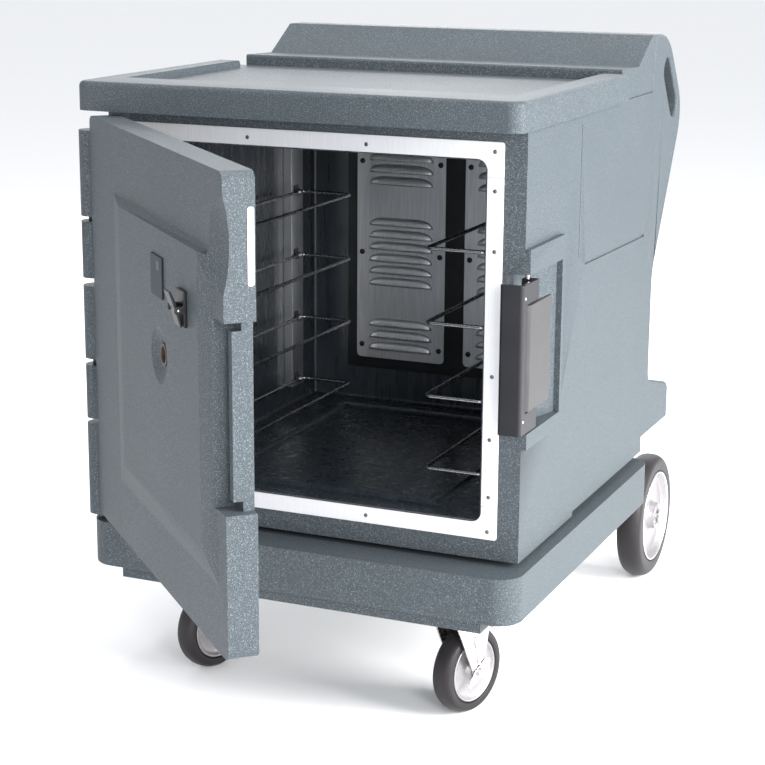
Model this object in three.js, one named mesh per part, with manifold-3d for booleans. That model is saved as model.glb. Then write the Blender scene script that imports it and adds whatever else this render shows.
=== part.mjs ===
// Heated, foam-insulated food carrier on wheels: a moulded cabinet with one hinged door, pan racks,
// a fan heater behind louvred panels, a push handle, two swivel casters and two large rear wheels.
// Millimetres, +Z up, X to the right of someone facing the door, Y towards the back.
// While it is being built, y = 0 is the cabinet's front face and z = 0 is the floor.

import * as THREE from 'three';
import { mergeVertices } from 'three/addons/utils/BufferGeometryUtils.js';
import Module from 'manifold-3d';

const wasm = await Module();
wasm.setup();

// ---------- driving dimensions ----------

const GAP = 0.3; // clearance between pieces that touch
const SKIN = 5; // wall of the moulded body

// Front casters and the room they swivel in
const CASTER_RADIUS = 76;
const CASTER_HEADROOM = 49; // from the top of the tyre to the skirt above it
const CASTER_INSET = 150; // from the base's side to the swivel axis
const CASTER_SWIVEL_Y = 58;
const CASTER_TRAIL = 36;
const CASTER_TURN = -17.6; // degrees, as they stand at rest
const CASTER_TREAD = 38;
const CASTER_TYRE = 20; // height of the tyre outside its hub
const CASTER_AXLE = 5;
const CASTER_PLATE = 6;
const CASTER_PLATE_WIDTH = 100;
const CASTER_PLATE_LENGTH = 80;
const CASTER_RACE_RADIUS = 24;
const CASTER_RACE = 10; // height of the ball race under the plate
const FORK_SIDE = 4.5; // from the tyre to a fork leg
const FORK_WALL = 3.5;
const FORK_FRONT = 30; // ahead of the swivel axis
const FORK_REAR = 28; // behind the wheel axle
const FORK_FOOT = 13; // half width of a leg at the axle
const FORK_CROWN = 5;
const BRAKE_PIN = 2.5;
const BRAKE_PIVOT_Y = 22;
const BRAKE_PIVOT_RISE = 12; // above the tyre
const BRAKE_CLEARANCE = 5.5; // between the tyre and the lifted brake
const BRAKE_THICKNESS = 11;
const BRAKE_REACH = 84; // behind the axle

// Rear wheels
const REAR_RADIUS = 127;
const REAR_TREAD = 50;
const REAR_TYRE = 35;
const REAR_WHEEL_BEHIND = 190; // behind the base
const REAR_WHEEL_FACE = 18; // in from the cabinet's side
const REAR_AXLE = 9.5;
const REAR_AXLE_END = 8;
const BRACKET_WALL = 6;
const BRACKET_INSET = 22; // between a wheel and its bracket
const BRACKET_EDGE = 22; // plate round the axle
const BRACKET_MARGIN = 6; // below the base's top edge and above its bottom one
const FLANGE_WIDTH = 48;

// Base
const BASE_HEIGHT = 80;
const BASE_OVER_LEFT = 26; // beyond the cabinet's side
const BASE_OVER_RIGHT = 18;
const BASE_FRONT = -66;
const BASE_OVER_REAR = 7; // beyond the cabinet's rear wall
const BASE_CORNER = 44;
const BASE_WALL = 9;
const BASE_SEAM = 9; // between the base and the cabinet
const SKIRT_HEIGHT = 21;
const SKIRT_INSET = 62;
const SKIRT_INSET_FRONT = 14;
const SKIRT_INSET_REAR = 30;
const PLINTH_INSET = 48;
const DRAIN_RADIUS = 14;

// Cabinet body
const BODY_WIDTH = 752;
const BODY_HEIGHT = 706;
const BODY_STEP_DEPTH = 282; // the lower edge steps up behind this distance
const BODY_STEP = 8;
const GROOVE_DROP = 262; // from the body's top to the long groove on each side
const GROOVE_START = 311;
const GROOVE_END = 672;
const GROOVE_FALL = 6;
const GROOVE_WIDTH = 5;
const GROOVE_DEPTH = 2.5;
const CREASE_Y = 273;
const CREASE_WIDTH = 2;
const CREASE_DEPTH = 1;
const CREASE_RAISE = 17;

// Cavity, and the insulated walls round it
const CAVITY_DEPTH = 664;
const SIDE_WALL = 68;
const FLOOR_WALL = 65;
const ROOF_WALL = 51;
const REAR_WALL = 79;
const LINER_SKIN = 4;
const PLENUM_WIDTH = 420;
const PLENUM_DEPTH = 38;
const PLENUM_OVER_FLOOR = 88;
const PLENUM_UNDER_ROOF = 78;
const TRAY_RIM = 8;
const TRAY_INSET = 98; // from the cavity's sides
const TRAY_FRONT = 50;
const TRAY_REAR = 64; // ahead of the cavity's rear wall

// Rear bumper and push handle, measured from the rear wall
const BUMPER_REACH = 150;
const BUMPER_RAISE = 35; // above the body's lower edge
const BUMPER_HEIGHT = 105;
const BUMPER_SLOPE = 28; // fall of the bumper's top to its rear edge
const HANDLE_REACH = 160;
const HANDLE_OVER_BODY = 104;
const HANDLE_START = 31; // ahead of the rear wall
const HANDLE_LEAN = 14; // of its front face
const REAR_FLAT = 189; // from the bumper's top up to where the handle leaves the rear wall
const HANDLE_BLEND = 4;
const HANDLE_TUCK = 14; // under the grip, in from its rear
const HANDLE_BELLY = 201; // below the top, where the underside turns up
const HANDLE_BULGE = 12;
const HANDLE_MIDDLE = 153;
const HANDLE_SHOULDER_IN = 20;
const HANDLE_SHOULDER = 107;
const HANDLE_CREST_IN = 70;
const HANDLE_CREST = 43;
const HANDLE_CREST_BEND = 104;
const HANDLE_CREST_END = 160;
const GRIP_SLOT_WIDTH = 50;
const GRIP_SLOT_LENGTH = 132;
const GRIP_SLOT_LEAN = 36.5; // degrees from upright
const GRIP_SLOT_IN = 81; // from the handle's rear to the middle of the slot
const GRIP_SLOT_DROP = 105; // from the handle's top to the middle of the slot

// Trim frame round the opening
const TRIM_WIDTH = 28;
const TRIM_THICKNESS = 2;
const TRIM_CORNER = 18;
const TRIM_OUTER_CORNER = 5;
const TRIM_LAP = 2.5; // how far the trim stands outside the cavity's edge

// Lid
const LID_OVER_LEFT = 29; // beyond the cabinet's side
const LID_OVER_RIGHT = 12;
const LID_FRONT = -62;
const LID_HEIGHT = 49;
const LID_CORNER = 26;
const LID_WALL = 12;
const DECK_DROP = 13;
const RIM_WIDTH = 46;
const RIM_GAP = 50; // between the side rims' rear ends and the upstand
const FRONT_RIM = 95;

// Upstand at the back of the lid
const UPSTAND_LENGTH = 212;
const UPSTAND_STEP = 7; // its ledge above the lid
const UPSTAND_LEDGE = 106; // depth of the ledge
const UPSTAND_CREST = 22; // depth of the flat top ahead of the handle
const UPSTAND_INSET_LEFT = 4;
const UPSTAND_INSET_RIGHT = 2;
const EDGE_EASE = 3;

// Door, in its own frame: s from the hinge axis to the free edge, n outwards, z up
const DOOR_OPEN = 44.8; // degrees, as it stands at rest
const HINGE_OUT = 9; // the hinge axis outside the cabinet's side
const HINGE_Y = -42;
const KNUCKLE_RADIUS = 21;
const KNUCKLE_WEB = 11.5;
const PIN_RADIUS = 8.5;
const PIN_ENTRY = 38; // how far a pin reaches into each knuckle
const KNUCKLE_DROP = 33; // from the body's top to the first knuckle
const KNUCKLE_LENGTHS = [145, 97, 127, 94]; // the lowest one takes the rest
const KNUCKLE_SEAMS = [9, 14, 12, 10];
const KNUCKLE_FOOT = 2; // the lowest knuckle above the body's lower edge
const DOOR_START = 26;
const DOOR_OVER = 10; // the free edge beyond the cabinet's side
const DOOR_OUTER = 9;
const DOOR_SETBACK = 4.5; // the door's inner face ahead of the cabinet
const DOOR_TOP_GAP = 6;
const DOOR_FOOT_GAP = 9;
const DOOR_CORNER = 14;
const DOOR_SKIN = 4;
const DOOR_LINER = 4;
const PANEL_START = 154; // raised panel, from the door's hinge edge
const PANEL_END = 36; // and from its free edge
const PANEL_UNDER_TOP = 109;
const PANEL_OVER_FOOT = 102;
const PANEL_BEVEL = 45;
const PANEL_RAISE = 12;
const SCOOP_RADIUS = 96;
const SCOOP_FLATTEN = 0.33;
const SCOOP_SQUASH = 1;
const SCOOP_OUT = 8; // centre beyond the free edge
const SCOOP_PROUD = 22; // centre in front of the face
const SCOOP_DROP = 99; // below the door's top
const LATCH_POCKET_WIDTH = 47;
const LATCH_POCKET_DEPTH = 30;
const LATCH_POCKET_RISE = 16; // above the pocket in the cabinet's side
const LATCH_POCKET_FOOT = 4;
const STRIKE_RISE = 14;
const STRIKE_WIDTH = 16;
const STRIKE_MARGIN = 15; // strike clear of the pocket's ends
const LIP_SETBACK = 15;
const GASKET_WIDTH = 14;
const GASKET_GROOVE = 1.5;
const GASKET_STAND = 1.2;
const GASKET_INSET = 7; // inside the trim's outer edge
const GASKET_CORNER = 8;

// Door fittings, placed from the free edge and the door's top
const GAUGE_IN = 286;
const GAUGE_DROP = 189;
const GAUGE_SIZE = 62;
const GAUGE_THICKNESS = 3;
const CLIP_IN = 153;
const CLIP_DROP = 211;
const CLIP_WIDTH = 40;
const CLIP_HEIGHT = 52;
const CLIP_STANDOFF = 13;
const CLIP_PLATE = 5;
const CLIP_EAR = 10; // height of each ear
const JAW_THICKNESS = 3;
const JAW_SIDE = 1; // clearance to each ear
const JAW_FLARE = 12; // how far the thumb end stands out
const VENT_IN = 288;
const VENT_DROP = 309;
const VENT_DISH_RADIUS = 44;
const VENT_DISH_DEPTH = 8;
const VENT_RADIUS = 18;
const VENT_LEDGE = 6;
const VENT_DEPTH = 18;
const VENT_RECESS = 6;

// Latch on the cabinet's right front corner
const LATCH_DROP = 237; // from the body's top to the top of the latch arm
const LATCH_HEIGHT = 243;
const LATCH_PIVOT_IN = 5; // the pivot inside the cabinet's side
const LATCH_PIVOT_Y = 26;
const LATCH_OUT = 13; // the arm's face outside the cabinet's side
const LATCH_CLEAR = 1; // between the closed door's strike and the nose
const LATCH_NOSE = 39; // length of the nose
const LATCH_WALL = 7;
const LATCH_BOSS = 7; // half width of the pivot boss
const LATCH_PIN = 4;
const LATCH_PIN_ENTRY = 16;
const WINDOW_MARGIN = 33;
const WINDOW_FRONT = 22;
const PADDLE_WALL = 6;
const PADDLE_PROUD = 3;
const PADDLE_REACH = 62; // behind the pivot
const PADDLE_GAP = 2;
const BOSS_RISE = 9;
const BOSS_DEPTH = 172;
const BOSS_MARGIN = 26; // above and below the finger pocket
const BOSS_MARGIN_TOP = 40;
const POCKET_WALL = 30; // the pocket's depth into the cabinet's side
const POCKET_FLAT = 62; // how far back it keeps its depth
const POCKET_LENGTH = 162;
const POCKET_MARGIN = 10; // above the latch arm
const POCKET_MARGIN_FOOT = 7;

// Racks
const RACK_COUNT = 4;
const RACK_LOWEST = 56; // above the cavity's floor
const RACK_PITCH = 125;
const RACK_WIRE = 3.5;
const RACK_WIDTH = 102;
const RACK_WALL_GAP = 26; // outboard wire to the cavity's side
const RACK_FRONT = 72;
const RACK_REAR_GAP = 102;
const RACK_HOOK = 4;
const RACK_SIDES = 8;
const UPRIGHT_WIDTH = 50;
const UPRIGHT_STANDOFF = 18;
const UPRIGHT_WALL = 1.5;
const UPRIGHT_OVER_FLOOR = 43;
const UPRIGHT_UNDER_ROOF = 36;
const UPRIGHT_FRONT_Y = 128;
const UPRIGHT_REAR_GAP = 112;
const SLOT_AHEAD = 16;
const SLOT_BEHIND = 6;
const SLOT_ABOVE = 14;
const SLOT_BELOW = 4;

// Louvred panels and their frame
const FRAME_THICKNESS = 3;
const FRAME_LAP = 20; // beyond the plenum's sides
const FRAME_LAP_ENDS = 22; // beyond its top and bottom
const FRAME_BORDER = 8;
const SHEET = 1.5;
const SHEET_MIDDLE_GAP = 41;
const SHEET_WIDTH = 188.5;
const LOUVRE_LENGTH = 134;
const LOUVRE_SLOT = 5;
const LOUVRE_PITCH = 24;
const LOUVRE_GROUPS = [[18, 3], [150, 6], [352, 3]]; // lowest slot above the sheet's foot, and how many

// Fan heater
const FAN_UNDER_PLENUM = 88;
const FAN_RADIUS = 78;
const FAN_DEPTH = 22;
const FAN_BLADES = 8;
const FAN_HUB = 14;
const FAN_CLEAR = 6;
const BLADE_LENGTH = 30;
const BLADE_WALL = 2.4;
const BACKPLATE = 3;
const SHAFT_RADIUS = 5;
const MOTOR_RADIUS = 34;
const MOTOR_LENGTH = 28;
const HEATER_WIRE = 4;
const HEATER_SPAN = 160;
const HEATER_OVER_PLENUM = 36;
const HEATER_RISE = 30;
const HEATER_ROWS = 4;
const HEATER_STANDOFF = 16;

// Controls on the rear wall
const CONTROL_WIDTH = 300;
const CONTROL_HEIGHT = 128;
const CONTROL_DROP = 12; // below the handle's foot
const CONTROL_THICKNESS = 3;
const CONTROL_CORNER = 8;
const CONTROL_AXIS = 56; // its fittings above the plate's foot
const DIAL_RADIUS = 22;
const DIAL_THICKNESS = 7;
const DIAL_GRIP = 20;
const DIAL_GRIP_WALL = 8;
const DIAL_SPINDLE = 3;
const DIAL_X = -60;
const SWITCH_X = 40;
const SWITCH_WIDTH = 20;
const SWITCH_HEIGHT = 26;
const SWITCH_STAND = 6;
const SWITCH_GAP = 2;
const INLET_X = 109;
const INLET_WIDTH = 38;
const INLET_HEIGHT = 36;
const INLET_STAND = 12;
const INLET_WALL = 5;

// ---------- sizes that follow from them ----------

const HALF_BODY = BODY_WIDTH / 2;
const HALF_CAVITY = HALF_BODY - SIDE_WALL;
const LINER_OUT = HALF_CAVITY + LINER_SKIN;
const SKIRT_BOTTOM = 2 * CASTER_RADIUS + CASTER_HEADROOM;
const BASE_BOTTOM = SKIRT_BOTTOM + SKIRT_HEIGHT;
const BASE_TOP = BASE_BOTTOM + BASE_HEIGHT;
const BODY_BOTTOM = BASE_TOP + BASE_SEAM;
const BODY_TOP = BODY_BOTTOM + BODY_HEIGHT;
const REAR_FACE = CAVITY_DEPTH + REAR_WALL;
const BODY_REAR = REAR_FACE - HANDLE_START;
const CAVITY_BOTTOM = BODY_BOTTOM + FLOOR_WALL;
const CAVITY_TOP = BODY_TOP - ROOF_WALL;
const PLENUM_BOTTOM = CAVITY_BOTTOM + PLENUM_OVER_FLOOR;
const PLENUM_TOP = CAVITY_TOP - PLENUM_UNDER_ROOF;
const BUMPER_REAR = REAR_FACE + BUMPER_REACH;
const BUMPER_BOTTOM = BODY_BOTTOM + BUMPER_RAISE;
const BUMPER_TOP = BUMPER_BOTTOM + BUMPER_HEIGHT;
const HANDLE_REAR = REAR_FACE + HANDLE_REACH;
const HANDLE_TOP = BODY_TOP + HANDLE_OVER_BODY;
const HANDLE_FRONT = BODY_REAR;
const HANDLE_FOOT = BUMPER_TOP + REAR_FLAT;
const BASE_LEFT = -HALF_BODY - BASE_OVER_LEFT;
const BASE_RIGHT = HALF_BODY + BASE_OVER_RIGHT;
const BASE_REAR = BODY_REAR + BASE_OVER_REAR;
const LID_LEFT = -HALF_BODY - LID_OVER_LEFT;
const LID_RIGHT = HALF_BODY + LID_OVER_RIGHT;
const LID_TOP = BODY_TOP + LID_HEIGHT;
const UPSTAND_FRONT = BODY_REAR - UPSTAND_LENGTH;
const TRIM_IN = HALF_CAVITY + TRIM_LAP;
const TRIM_OUT = TRIM_IN + TRIM_WIDTH;
const TRIM_LOW = CAVITY_BOTTOM - TRIM_LAP;
const TRIM_HIGH = CAVITY_TOP + TRIM_LAP;
const HINGE_X = -HALF_BODY - HINGE_OUT;
const DOOR_WIDTH = HALF_BODY + DOOR_OVER - HINGE_X;
const DOOR_INNER = HINGE_Y + DOOR_SETBACK;
const DOOR_TOP = BODY_TOP - DOOR_TOP_GAP;
const DOOR_BOTTOM = BODY_BOTTOM + DOOR_FOOT_GAP;
const PANEL_FACE = DOOR_OUTER + PANEL_RAISE;
const LATCH_TOP = BODY_TOP - LATCH_DROP;
const LATCH_BOTTOM = LATCH_TOP - LATCH_HEIGHT;
const LATCH_PIVOT_X = HALF_BODY - LATCH_PIVOT_IN;
const LATCH_FACE = HALF_BODY + LATCH_OUT;
const POCKET_TOP = LATCH_TOP + POCKET_MARGIN;
const POCKET_BOTTOM = LATCH_BOTTOM - POCKET_MARGIN_FOOT;
const LATCH_POCKET_FLOOR = DOOR_OUTER - LATCH_POCKET_DEPTH;
const STRIKE_FACE = LATCH_POCKET_FLOOR + STRIKE_RISE;
const LATCH_POCKET_START = DOOR_WIDTH - LATCH_POCKET_WIDTH;
const LATCH_POCKET_TOP = POCKET_TOP + LATCH_POCKET_RISE;
const LATCH_POCKET_BOTTOM = POCKET_BOTTOM + LATCH_POCKET_FOOT;
const LATCH_FRONT = HINGE_Y - STRIKE_FACE - LATCH_CLEAR - LATCH_WALL;

// ---------- finishes ----------

const finish = (color, roughness, metalness) =>
  new THREE.MeshStandardMaterial({ color, roughness, metalness });

const SHELL = finish(0x6c7880, 0.62, 0);
const FOAM = finish(0xe8dca8, 0.95, 0);
const LINER = finish(0x5f6a72, 0.6, 0);
const ALUMINIUM = finish(0xd9dbdd, 0.38, 0.9);
const STEEL = finish(0xc4c6c8, 0.3, 1);
const WIRE = finish(0x8f9194, 0.25, 1);
const BLACK = finish(0x1d1e20, 0.5, 0);
const RUBBER = finish(0x4a484c, 0.75, 0);
const HUB = finish(0xb4b2b4, 0.45, 0.6);
const SEAL = finish(0x2a2c2e, 0.85, 0);

// ---------- shape helpers ----------

const X = new THREE.Vector3(1, 0, 0);
const Y = new THREE.Vector3(0, 1, 0);
const Z = new THREE.Vector3(0, 0, 1);

// A closed three.js geometry as a solid that can be joined and cut.
function toSolid(geometry) {
  const bare = geometry.clone();
  bare.deleteAttribute('normal');
  bare.deleteAttribute('uv');
  const merged = mergeVertices(bare, 1e-4);
  return new wasm.Manifold(new wasm.Mesh({
    numProp: 3,
    vertProperties: new Float32Array(merged.getAttribute('position').array),
    triVerts: new Uint32Array(merged.index.array),
  }));
}

function toGeometry(solid) {
  const mesh = solid.getMesh();
  const geometry = new THREE.BufferGeometry();
  geometry.setAttribute('position', new THREE.BufferAttribute(mesh.vertProperties, 3));
  geometry.setIndex(new THREE.BufferAttribute(mesh.triVerts, 1));
  return geometry;
}

function join(first, ...others) {
  return toGeometry(others.reduce((whole, next) => whole.add(toSolid(next)), toSolid(first)));
}

function cut(first, ...others) {
  return toGeometry(others.reduce((whole, next) => whole.subtract(toSolid(next)), toSolid(first)));
}

function common(first, second) {
  return toGeometry(toSolid(first).intersect(toSolid(second)));
}

function box(x0, x1, y0, y1, z0, z1) {
  const geometry = new THREE.BoxGeometry(x1 - x0, y1 - y0, z1 - z0);
  return geometry.translate((x0 + x1) / 2, (y0 + y1) / 2, (z0 + z1) / 2);
}

// Turns a geometry's local x, y and z to the three directions, which are right-handed.
function orient(geometry, right, up, out) {
  return geometry.applyMatrix4(new THREE.Matrix4().makeBasis(right, up, out));
}

function outline(points) {
  return new THREE.Shape(points.map(([a, b]) => new THREE.Vector2(a, b)));
}

function extrude(shape, depth, curveSegments = 4) {
  return new THREE.ExtrudeGeometry(shape, { depth, bevelEnabled: false, curveSegments });
}

// An outline in Y and Z, carried along X.
function sidePrism(shape, x0, x1, curveSegments) {
  return orient(extrude(shape, x1 - x0, curveSegments), Y, Z, X).translate(x0, 0, 0);
}

// An outline in X and Z, carried along Y.
function frontPrism(shape, y0, y1, curveSegments) {
  return orient(extrude(shape, y1 - y0, curveSegments), X, Z, Y.clone().negate()).translate(0, y1, 0);
}

// An outline in X and Y, carried along Z.
function planPrism(shape, z0, z1, curveSegments) {
  return extrude(shape, z1 - z0, curveSegments).translate(0, 0, z0);
}

function roundedRect(a0, a1, b0, b1, radius) {
  const shape = new THREE.Shape();
  shape.moveTo(a0 + radius, b0);
  shape.lineTo(a1 - radius, b0);
  shape.absarc(a1 - radius, b0 + radius, radius, -Math.PI / 2, 0);
  shape.lineTo(a1, b1 - radius);
  shape.absarc(a1 - radius, b1 - radius, radius, 0, Math.PI / 2);
  shape.lineTo(a0 + radius, b1);
  shape.absarc(a0 + radius, b1 - radius, radius, Math.PI / 2, Math.PI);
  shape.lineTo(a0, b0 + radius);
  shape.absarc(a0 + radius, b0 + radius, radius, Math.PI, 1.5 * Math.PI);
  return shape;
}

// A round bar along an axis, from one place on it to another.
function bar(axis, [x, y, z], radius, from, to, sides = 16) {
  const geometry = new THREE.CylinderGeometry(radius, radius, to - from, sides);
  geometry.translate(0, (from + to) / 2, 0);
  if (axis === X) orient(geometry, Y, X, Z.clone().negate());
  if (axis === Z) orient(geometry, X, Z, Y.clone().negate());
  return geometry.translate(x, y, z);
}

// A turned piece about the X axis: the profile gives [radius, x] pairs and closes on itself.
function turned(profile, sides) {
  const points = profile.map(([radius, along]) => new THREE.Vector2(radius, along));
  const geometry = new THREE.LatheGeometry([...points, points[0]], sides);
  return orient(geometry, Y, X, Z.clone().negate());
}

function mesh(name, geometry, material) {
  const piece = new THREE.Mesh(geometry, material);
  piece.name = name;
  return piece;
}

// The two sides of the cabinet: a name and a sign.
const SIDES = [['left', -1], ['right', 1]];

// The two ends of a span, with the lower one first.
const span = (a, b) => [Math.min(a, b), Math.max(a, b)];

// ---------- cabinet body ----------

// The side view of the moulded body, with the bumper and the push handle behind it.
function bodyProfile() {
  const bumperEdge = BUMPER_TOP - BUMPER_SLOPE;
  const bumperRound = 18;
  const bumperCorner = 38;
  const bumperRoot = 18;
  const rootRise = 35;
  const handleSpring = 60;
  const shape = new THREE.Shape();
  shape.moveTo(0, BODY_BOTTOM);
  shape.lineTo(BODY_STEP_DEPTH, BODY_BOTTOM);
  shape.lineTo(BODY_STEP_DEPTH, BODY_BOTTOM + BODY_STEP);
  shape.lineTo(BODY_REAR, BODY_BOTTOM + BODY_STEP);
  shape.lineTo(BODY_REAR, BUMPER_BOTTOM);
  shape.lineTo(BUMPER_REAR, BUMPER_BOTTOM);
  shape.lineTo(BUMPER_REAR, bumperEdge - bumperRound);
  shape.quadraticCurveTo(BUMPER_REAR, bumperEdge, BUMPER_REAR - bumperCorner, bumperEdge + HANDLE_BLEND);
  shape.lineTo(REAR_FACE + bumperRoot, BUMPER_TOP);
  shape.quadraticCurveTo(REAR_FACE, BUMPER_TOP + HANDLE_BLEND, REAR_FACE, BUMPER_TOP + rootRise);
  shape.lineTo(REAR_FACE, HANDLE_FOOT);
  const springEnd = HANDLE_FOOT + handleSpring;
  shape.quadraticCurveTo(REAR_FACE, HANDLE_FOOT + handleSpring / 2, REAR_FACE + bumperRoot, springEnd);
  shape.lineTo(HANDLE_REAR - HANDLE_TUCK, HANDLE_TOP - HANDLE_BELLY);
  shape.quadraticCurveTo(
    HANDLE_REAR + HANDLE_BULGE, HANDLE_TOP - HANDLE_MIDDLE, HANDLE_REAR - HANDLE_SHOULDER_IN,
    HANDLE_TOP - HANDLE_SHOULDER,
  );
  shape.lineTo(HANDLE_REAR - HANDLE_CREST_IN, HANDLE_TOP - HANDLE_CREST);
  shape.quadraticCurveTo(
    HANDLE_REAR - HANDLE_CREST_BEND, HANDLE_TOP, HANDLE_REAR - HANDLE_CREST_END, HANDLE_TOP,
  );
  shape.lineTo(HANDLE_FRONT, HANDLE_TOP);
  shape.lineTo(HANDLE_FRONT - HANDLE_LEAN, BODY_TOP);
  shape.lineTo(0, BODY_TOP);
  return shape;
}

// The slot under the push handle's grip runs right through from side to side.
function gripSlot(grow) {
  const half = GRIP_SLOT_LENGTH / 2;
  const radius = GRIP_SLOT_WIDTH / 2 + grow;
  const shape = roundedRect(-radius, radius, -half - grow, half + grow, radius - 0.01);
  const slot = sidePrism(shape, -HALF_BODY - 1, HALF_BODY + 1, 5);
  slot.rotateX(THREE.MathUtils.degToRad(GRIP_SLOT_LEAN));
  return slot.translate(0, HANDLE_REAR - GRIP_SLOT_IN, HANDLE_TOP - GRIP_SLOT_DROP);
}

// The finger pocket beside the latch, grown by a wall where it backs the pocket.
function latchPocket(grow) {
  const inner = HALF_BODY - POCKET_WALL - grow;
  const outer = HALF_BODY + BOSS_RISE + POCKET_WALL;
  const plan = outline([
    [outer, -1 - grow],
    [outer, POCKET_LENGTH + grow],
    [HALF_BODY - 1 - grow, POCKET_LENGTH + grow],
    [inner, POCKET_FLAT + grow],
    [inner, -1 - grow],
  ]);
  return planPrism(plan, POCKET_BOTTOM - grow, POCKET_TOP + grow);
}

// The space inside the shell, shrunk for what fills it.
function shellSpace(shrink) {
  const low = BODY_BOTTOM + BODY_STEP + SKIN + shrink;
  const side = HALF_BODY - SKIN - shrink;
  const rear = REAR_FACE - SKIN - shrink;
  const main = box(-side, side, SKIN + shrink, rear, low, BODY_TOP - SKIN - shrink);
  const underBumper = box(-HALF_BODY, HALF_BODY, BODY_REAR - SKIN - shrink, rear + 1, BODY_BOTTOM,
    BUMPER_BOTTOM + SKIN + shrink);
  return cut(main, underBumper, latchPocket(SKIN + shrink));
}

// The hollows inside the push handle and the bumper, which open into the main space.
function rearHollows() {
  const side = HALF_BODY - SKIN;
  const inside = REAR_FACE - SKIN - 1;
  const wall = 2 * SKIN;
  const handleFoot = HANDLE_FOOT + 5 * wall;
  const handle = sidePrism(outline([
    [inside, handleFoot],
    [REAR_FACE + SKIN, handleFoot],
    [HANDLE_REAR - HANDLE_TUCK - wall, HANDLE_TOP - HANDLE_BELLY],
    [HANDLE_REAR - SKIN - 2, HANDLE_TOP - HANDLE_MIDDLE - SKIN],
    [HANDLE_REAR - HANDLE_SHOULDER_IN - SKIN, HANDLE_TOP - HANDLE_SHOULDER - SKIN],
    [HANDLE_REAR - HANDLE_CREST_IN - wall, HANDLE_TOP - HANDLE_CREST - 2],
    [HANDLE_REAR - HANDLE_CREST_BEND - wall, HANDLE_TOP - SKIN - 2],
    [inside, HANDLE_TOP - SKIN - 2],
  ]), -side, side);
  const bumperEdge = BUMPER_TOP - BUMPER_SLOPE;
  const bumper = sidePrism(outline([
    [inside, BUMPER_BOTTOM + SKIN],
    [BUMPER_REAR - SKIN, BUMPER_BOTTOM + SKIN],
    [BUMPER_REAR - SKIN, bumperEdge - 2 * wall],
    [REAR_FACE + wall, BUMPER_TOP - wall],
    [inside, BUMPER_TOP - wall],
  ]), -side, side);
  return [cut(handle, gripSlot(SKIN)), bumper];
}

// The mouth in the shell's front wall, which the liner's edge fills.
function mouth() {
  const side = LINER_OUT + GAP;
  return box(-side, side, -1, SKIN + 1, CAVITY_BOTTOM - LINER_SKIN - GAP, CAVITY_TOP + LINER_SKIN + GAP);
}

// The top and the foot of each hinge knuckle from the highest down: door, body, door, body, door.
const KNUCKLES = KNUCKLE_LENGTHS.reduce((list, length, i) => {
  const top = i === 0 ? BODY_TOP - KNUCKLE_DROP : list[i - 1].foot - KNUCKLE_SEAMS[i - 1];
  return [...list, { top, foot: top - length }];
}, []);
KNUCKLES.push({
  top: KNUCKLES[KNUCKLES.length - 1].foot - KNUCKLE_SEAMS[KNUCKLE_SEAMS.length - 1],
  foot: BODY_BOTTOM + KNUCKLE_FOOT,
});
const BODY_KNUCKLES = [KNUCKLES[1], KNUCKLES[3]];
const DOOR_KNUCKLES = [KNUCKLES[0], KNUCKLES[2], KNUCKLES[4]];

function bodyKnuckle({ top, foot }) {
  const barrel = bar(Z, [HINGE_X, HINGE_Y, 0], KNUCKLE_RADIUS, foot, top, 28);
  const edge = HINGE_X + KNUCKLE_RADIUS + 1;
  return join(barrel, box(edge - KNUCKLE_WEB, edge, HINGE_Y, 2, foot, top));
}

// The blind hole for a hinge pin, open at the knuckle's top.
function pinSeat(top) {
  return bar(Z, [HINGE_X, HINGE_Y, 0], PIN_RADIUS + GAP, top - PIN_ENTRY, top + 1, 12);
}

function bodyShell() {
  const hull = sidePrism(bodyProfile(), -HALF_BODY, HALF_BODY, 8);
  const boss = box(HALF_BODY - 1, HALF_BODY + BOSS_RISE, GAP, BOSS_DEPTH, POCKET_BOTTOM - BOSS_MARGIN,
    POCKET_TOP + BOSS_MARGIN_TOP);
  const whole = join(hull, boss, ...BODY_KNUCKLES.map(bodyKnuckle));
  const seats = BODY_KNUCKLES.map(({ top }) => pinSeat(top));
  const pivot = latchAxis(LATCH_PIN + GAP, LATCH_PIN_ENTRY + SKIN);
  return cut(whole, shellSpace(0), ...rearHollows(), mouth(), latchPocket(0), gripSlot(0), ...sideGrooves(),
    ...seats, pivot);
}

// Moulded lines on both sides: a long one that falls a little to the rear, and a short upright one.
function sideGrooves() {
  const level = BODY_TOP - GROOVE_DROP;
  const long = outline([
    [GROOVE_START, level],
    [GROOVE_END, level - GROOVE_FALL],
    [GROOVE_END, level - GROOVE_FALL + GROOVE_WIDTH],
    [GROOVE_START, level + GROOVE_WIDTH],
  ]);
  return SIDES.flatMap(([, sign]) => {
    const [x0, x1] = span(sign * (HALF_BODY - GROOVE_DEPTH), sign * (HALF_BODY + 1));
    const [c0, c1] = span(sign * (HALF_BODY - CREASE_DEPTH), sign * (HALF_BODY + 1));
    const crease = box(c0, c1, CREASE_Y, CREASE_Y + CREASE_WIDTH, level + CREASE_RAISE,
      BODY_TOP - CREASE_RAISE);
    return [sidePrism(long, x0, x1), crease];
  });
}

// What the liner takes up with its walls, grown by a clearance.
function linerBlock(grow) {
  const out = LINER_SKIN + grow;
  const side = HALF_CAVITY + out;
  const rear = CAVITY_DEPTH + out;
  const plenumSide = PLENUM_WIDTH / 2 + out;
  return join(
    box(-side, side, GAP, rear, CAVITY_BOTTOM - out, CAVITY_TOP + out),
    box(-plenumSide, plenumSide, rear - 1, rear + PLENUM_DEPTH, PLENUM_BOTTOM - out, PLENUM_TOP + out),
  );
}

function fanAxis(radius, from, to, sides) {
  return bar(Y, [0, 0, PLENUM_TOP - FAN_UNDER_PLENUM], radius, from, to, sides);
}

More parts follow.
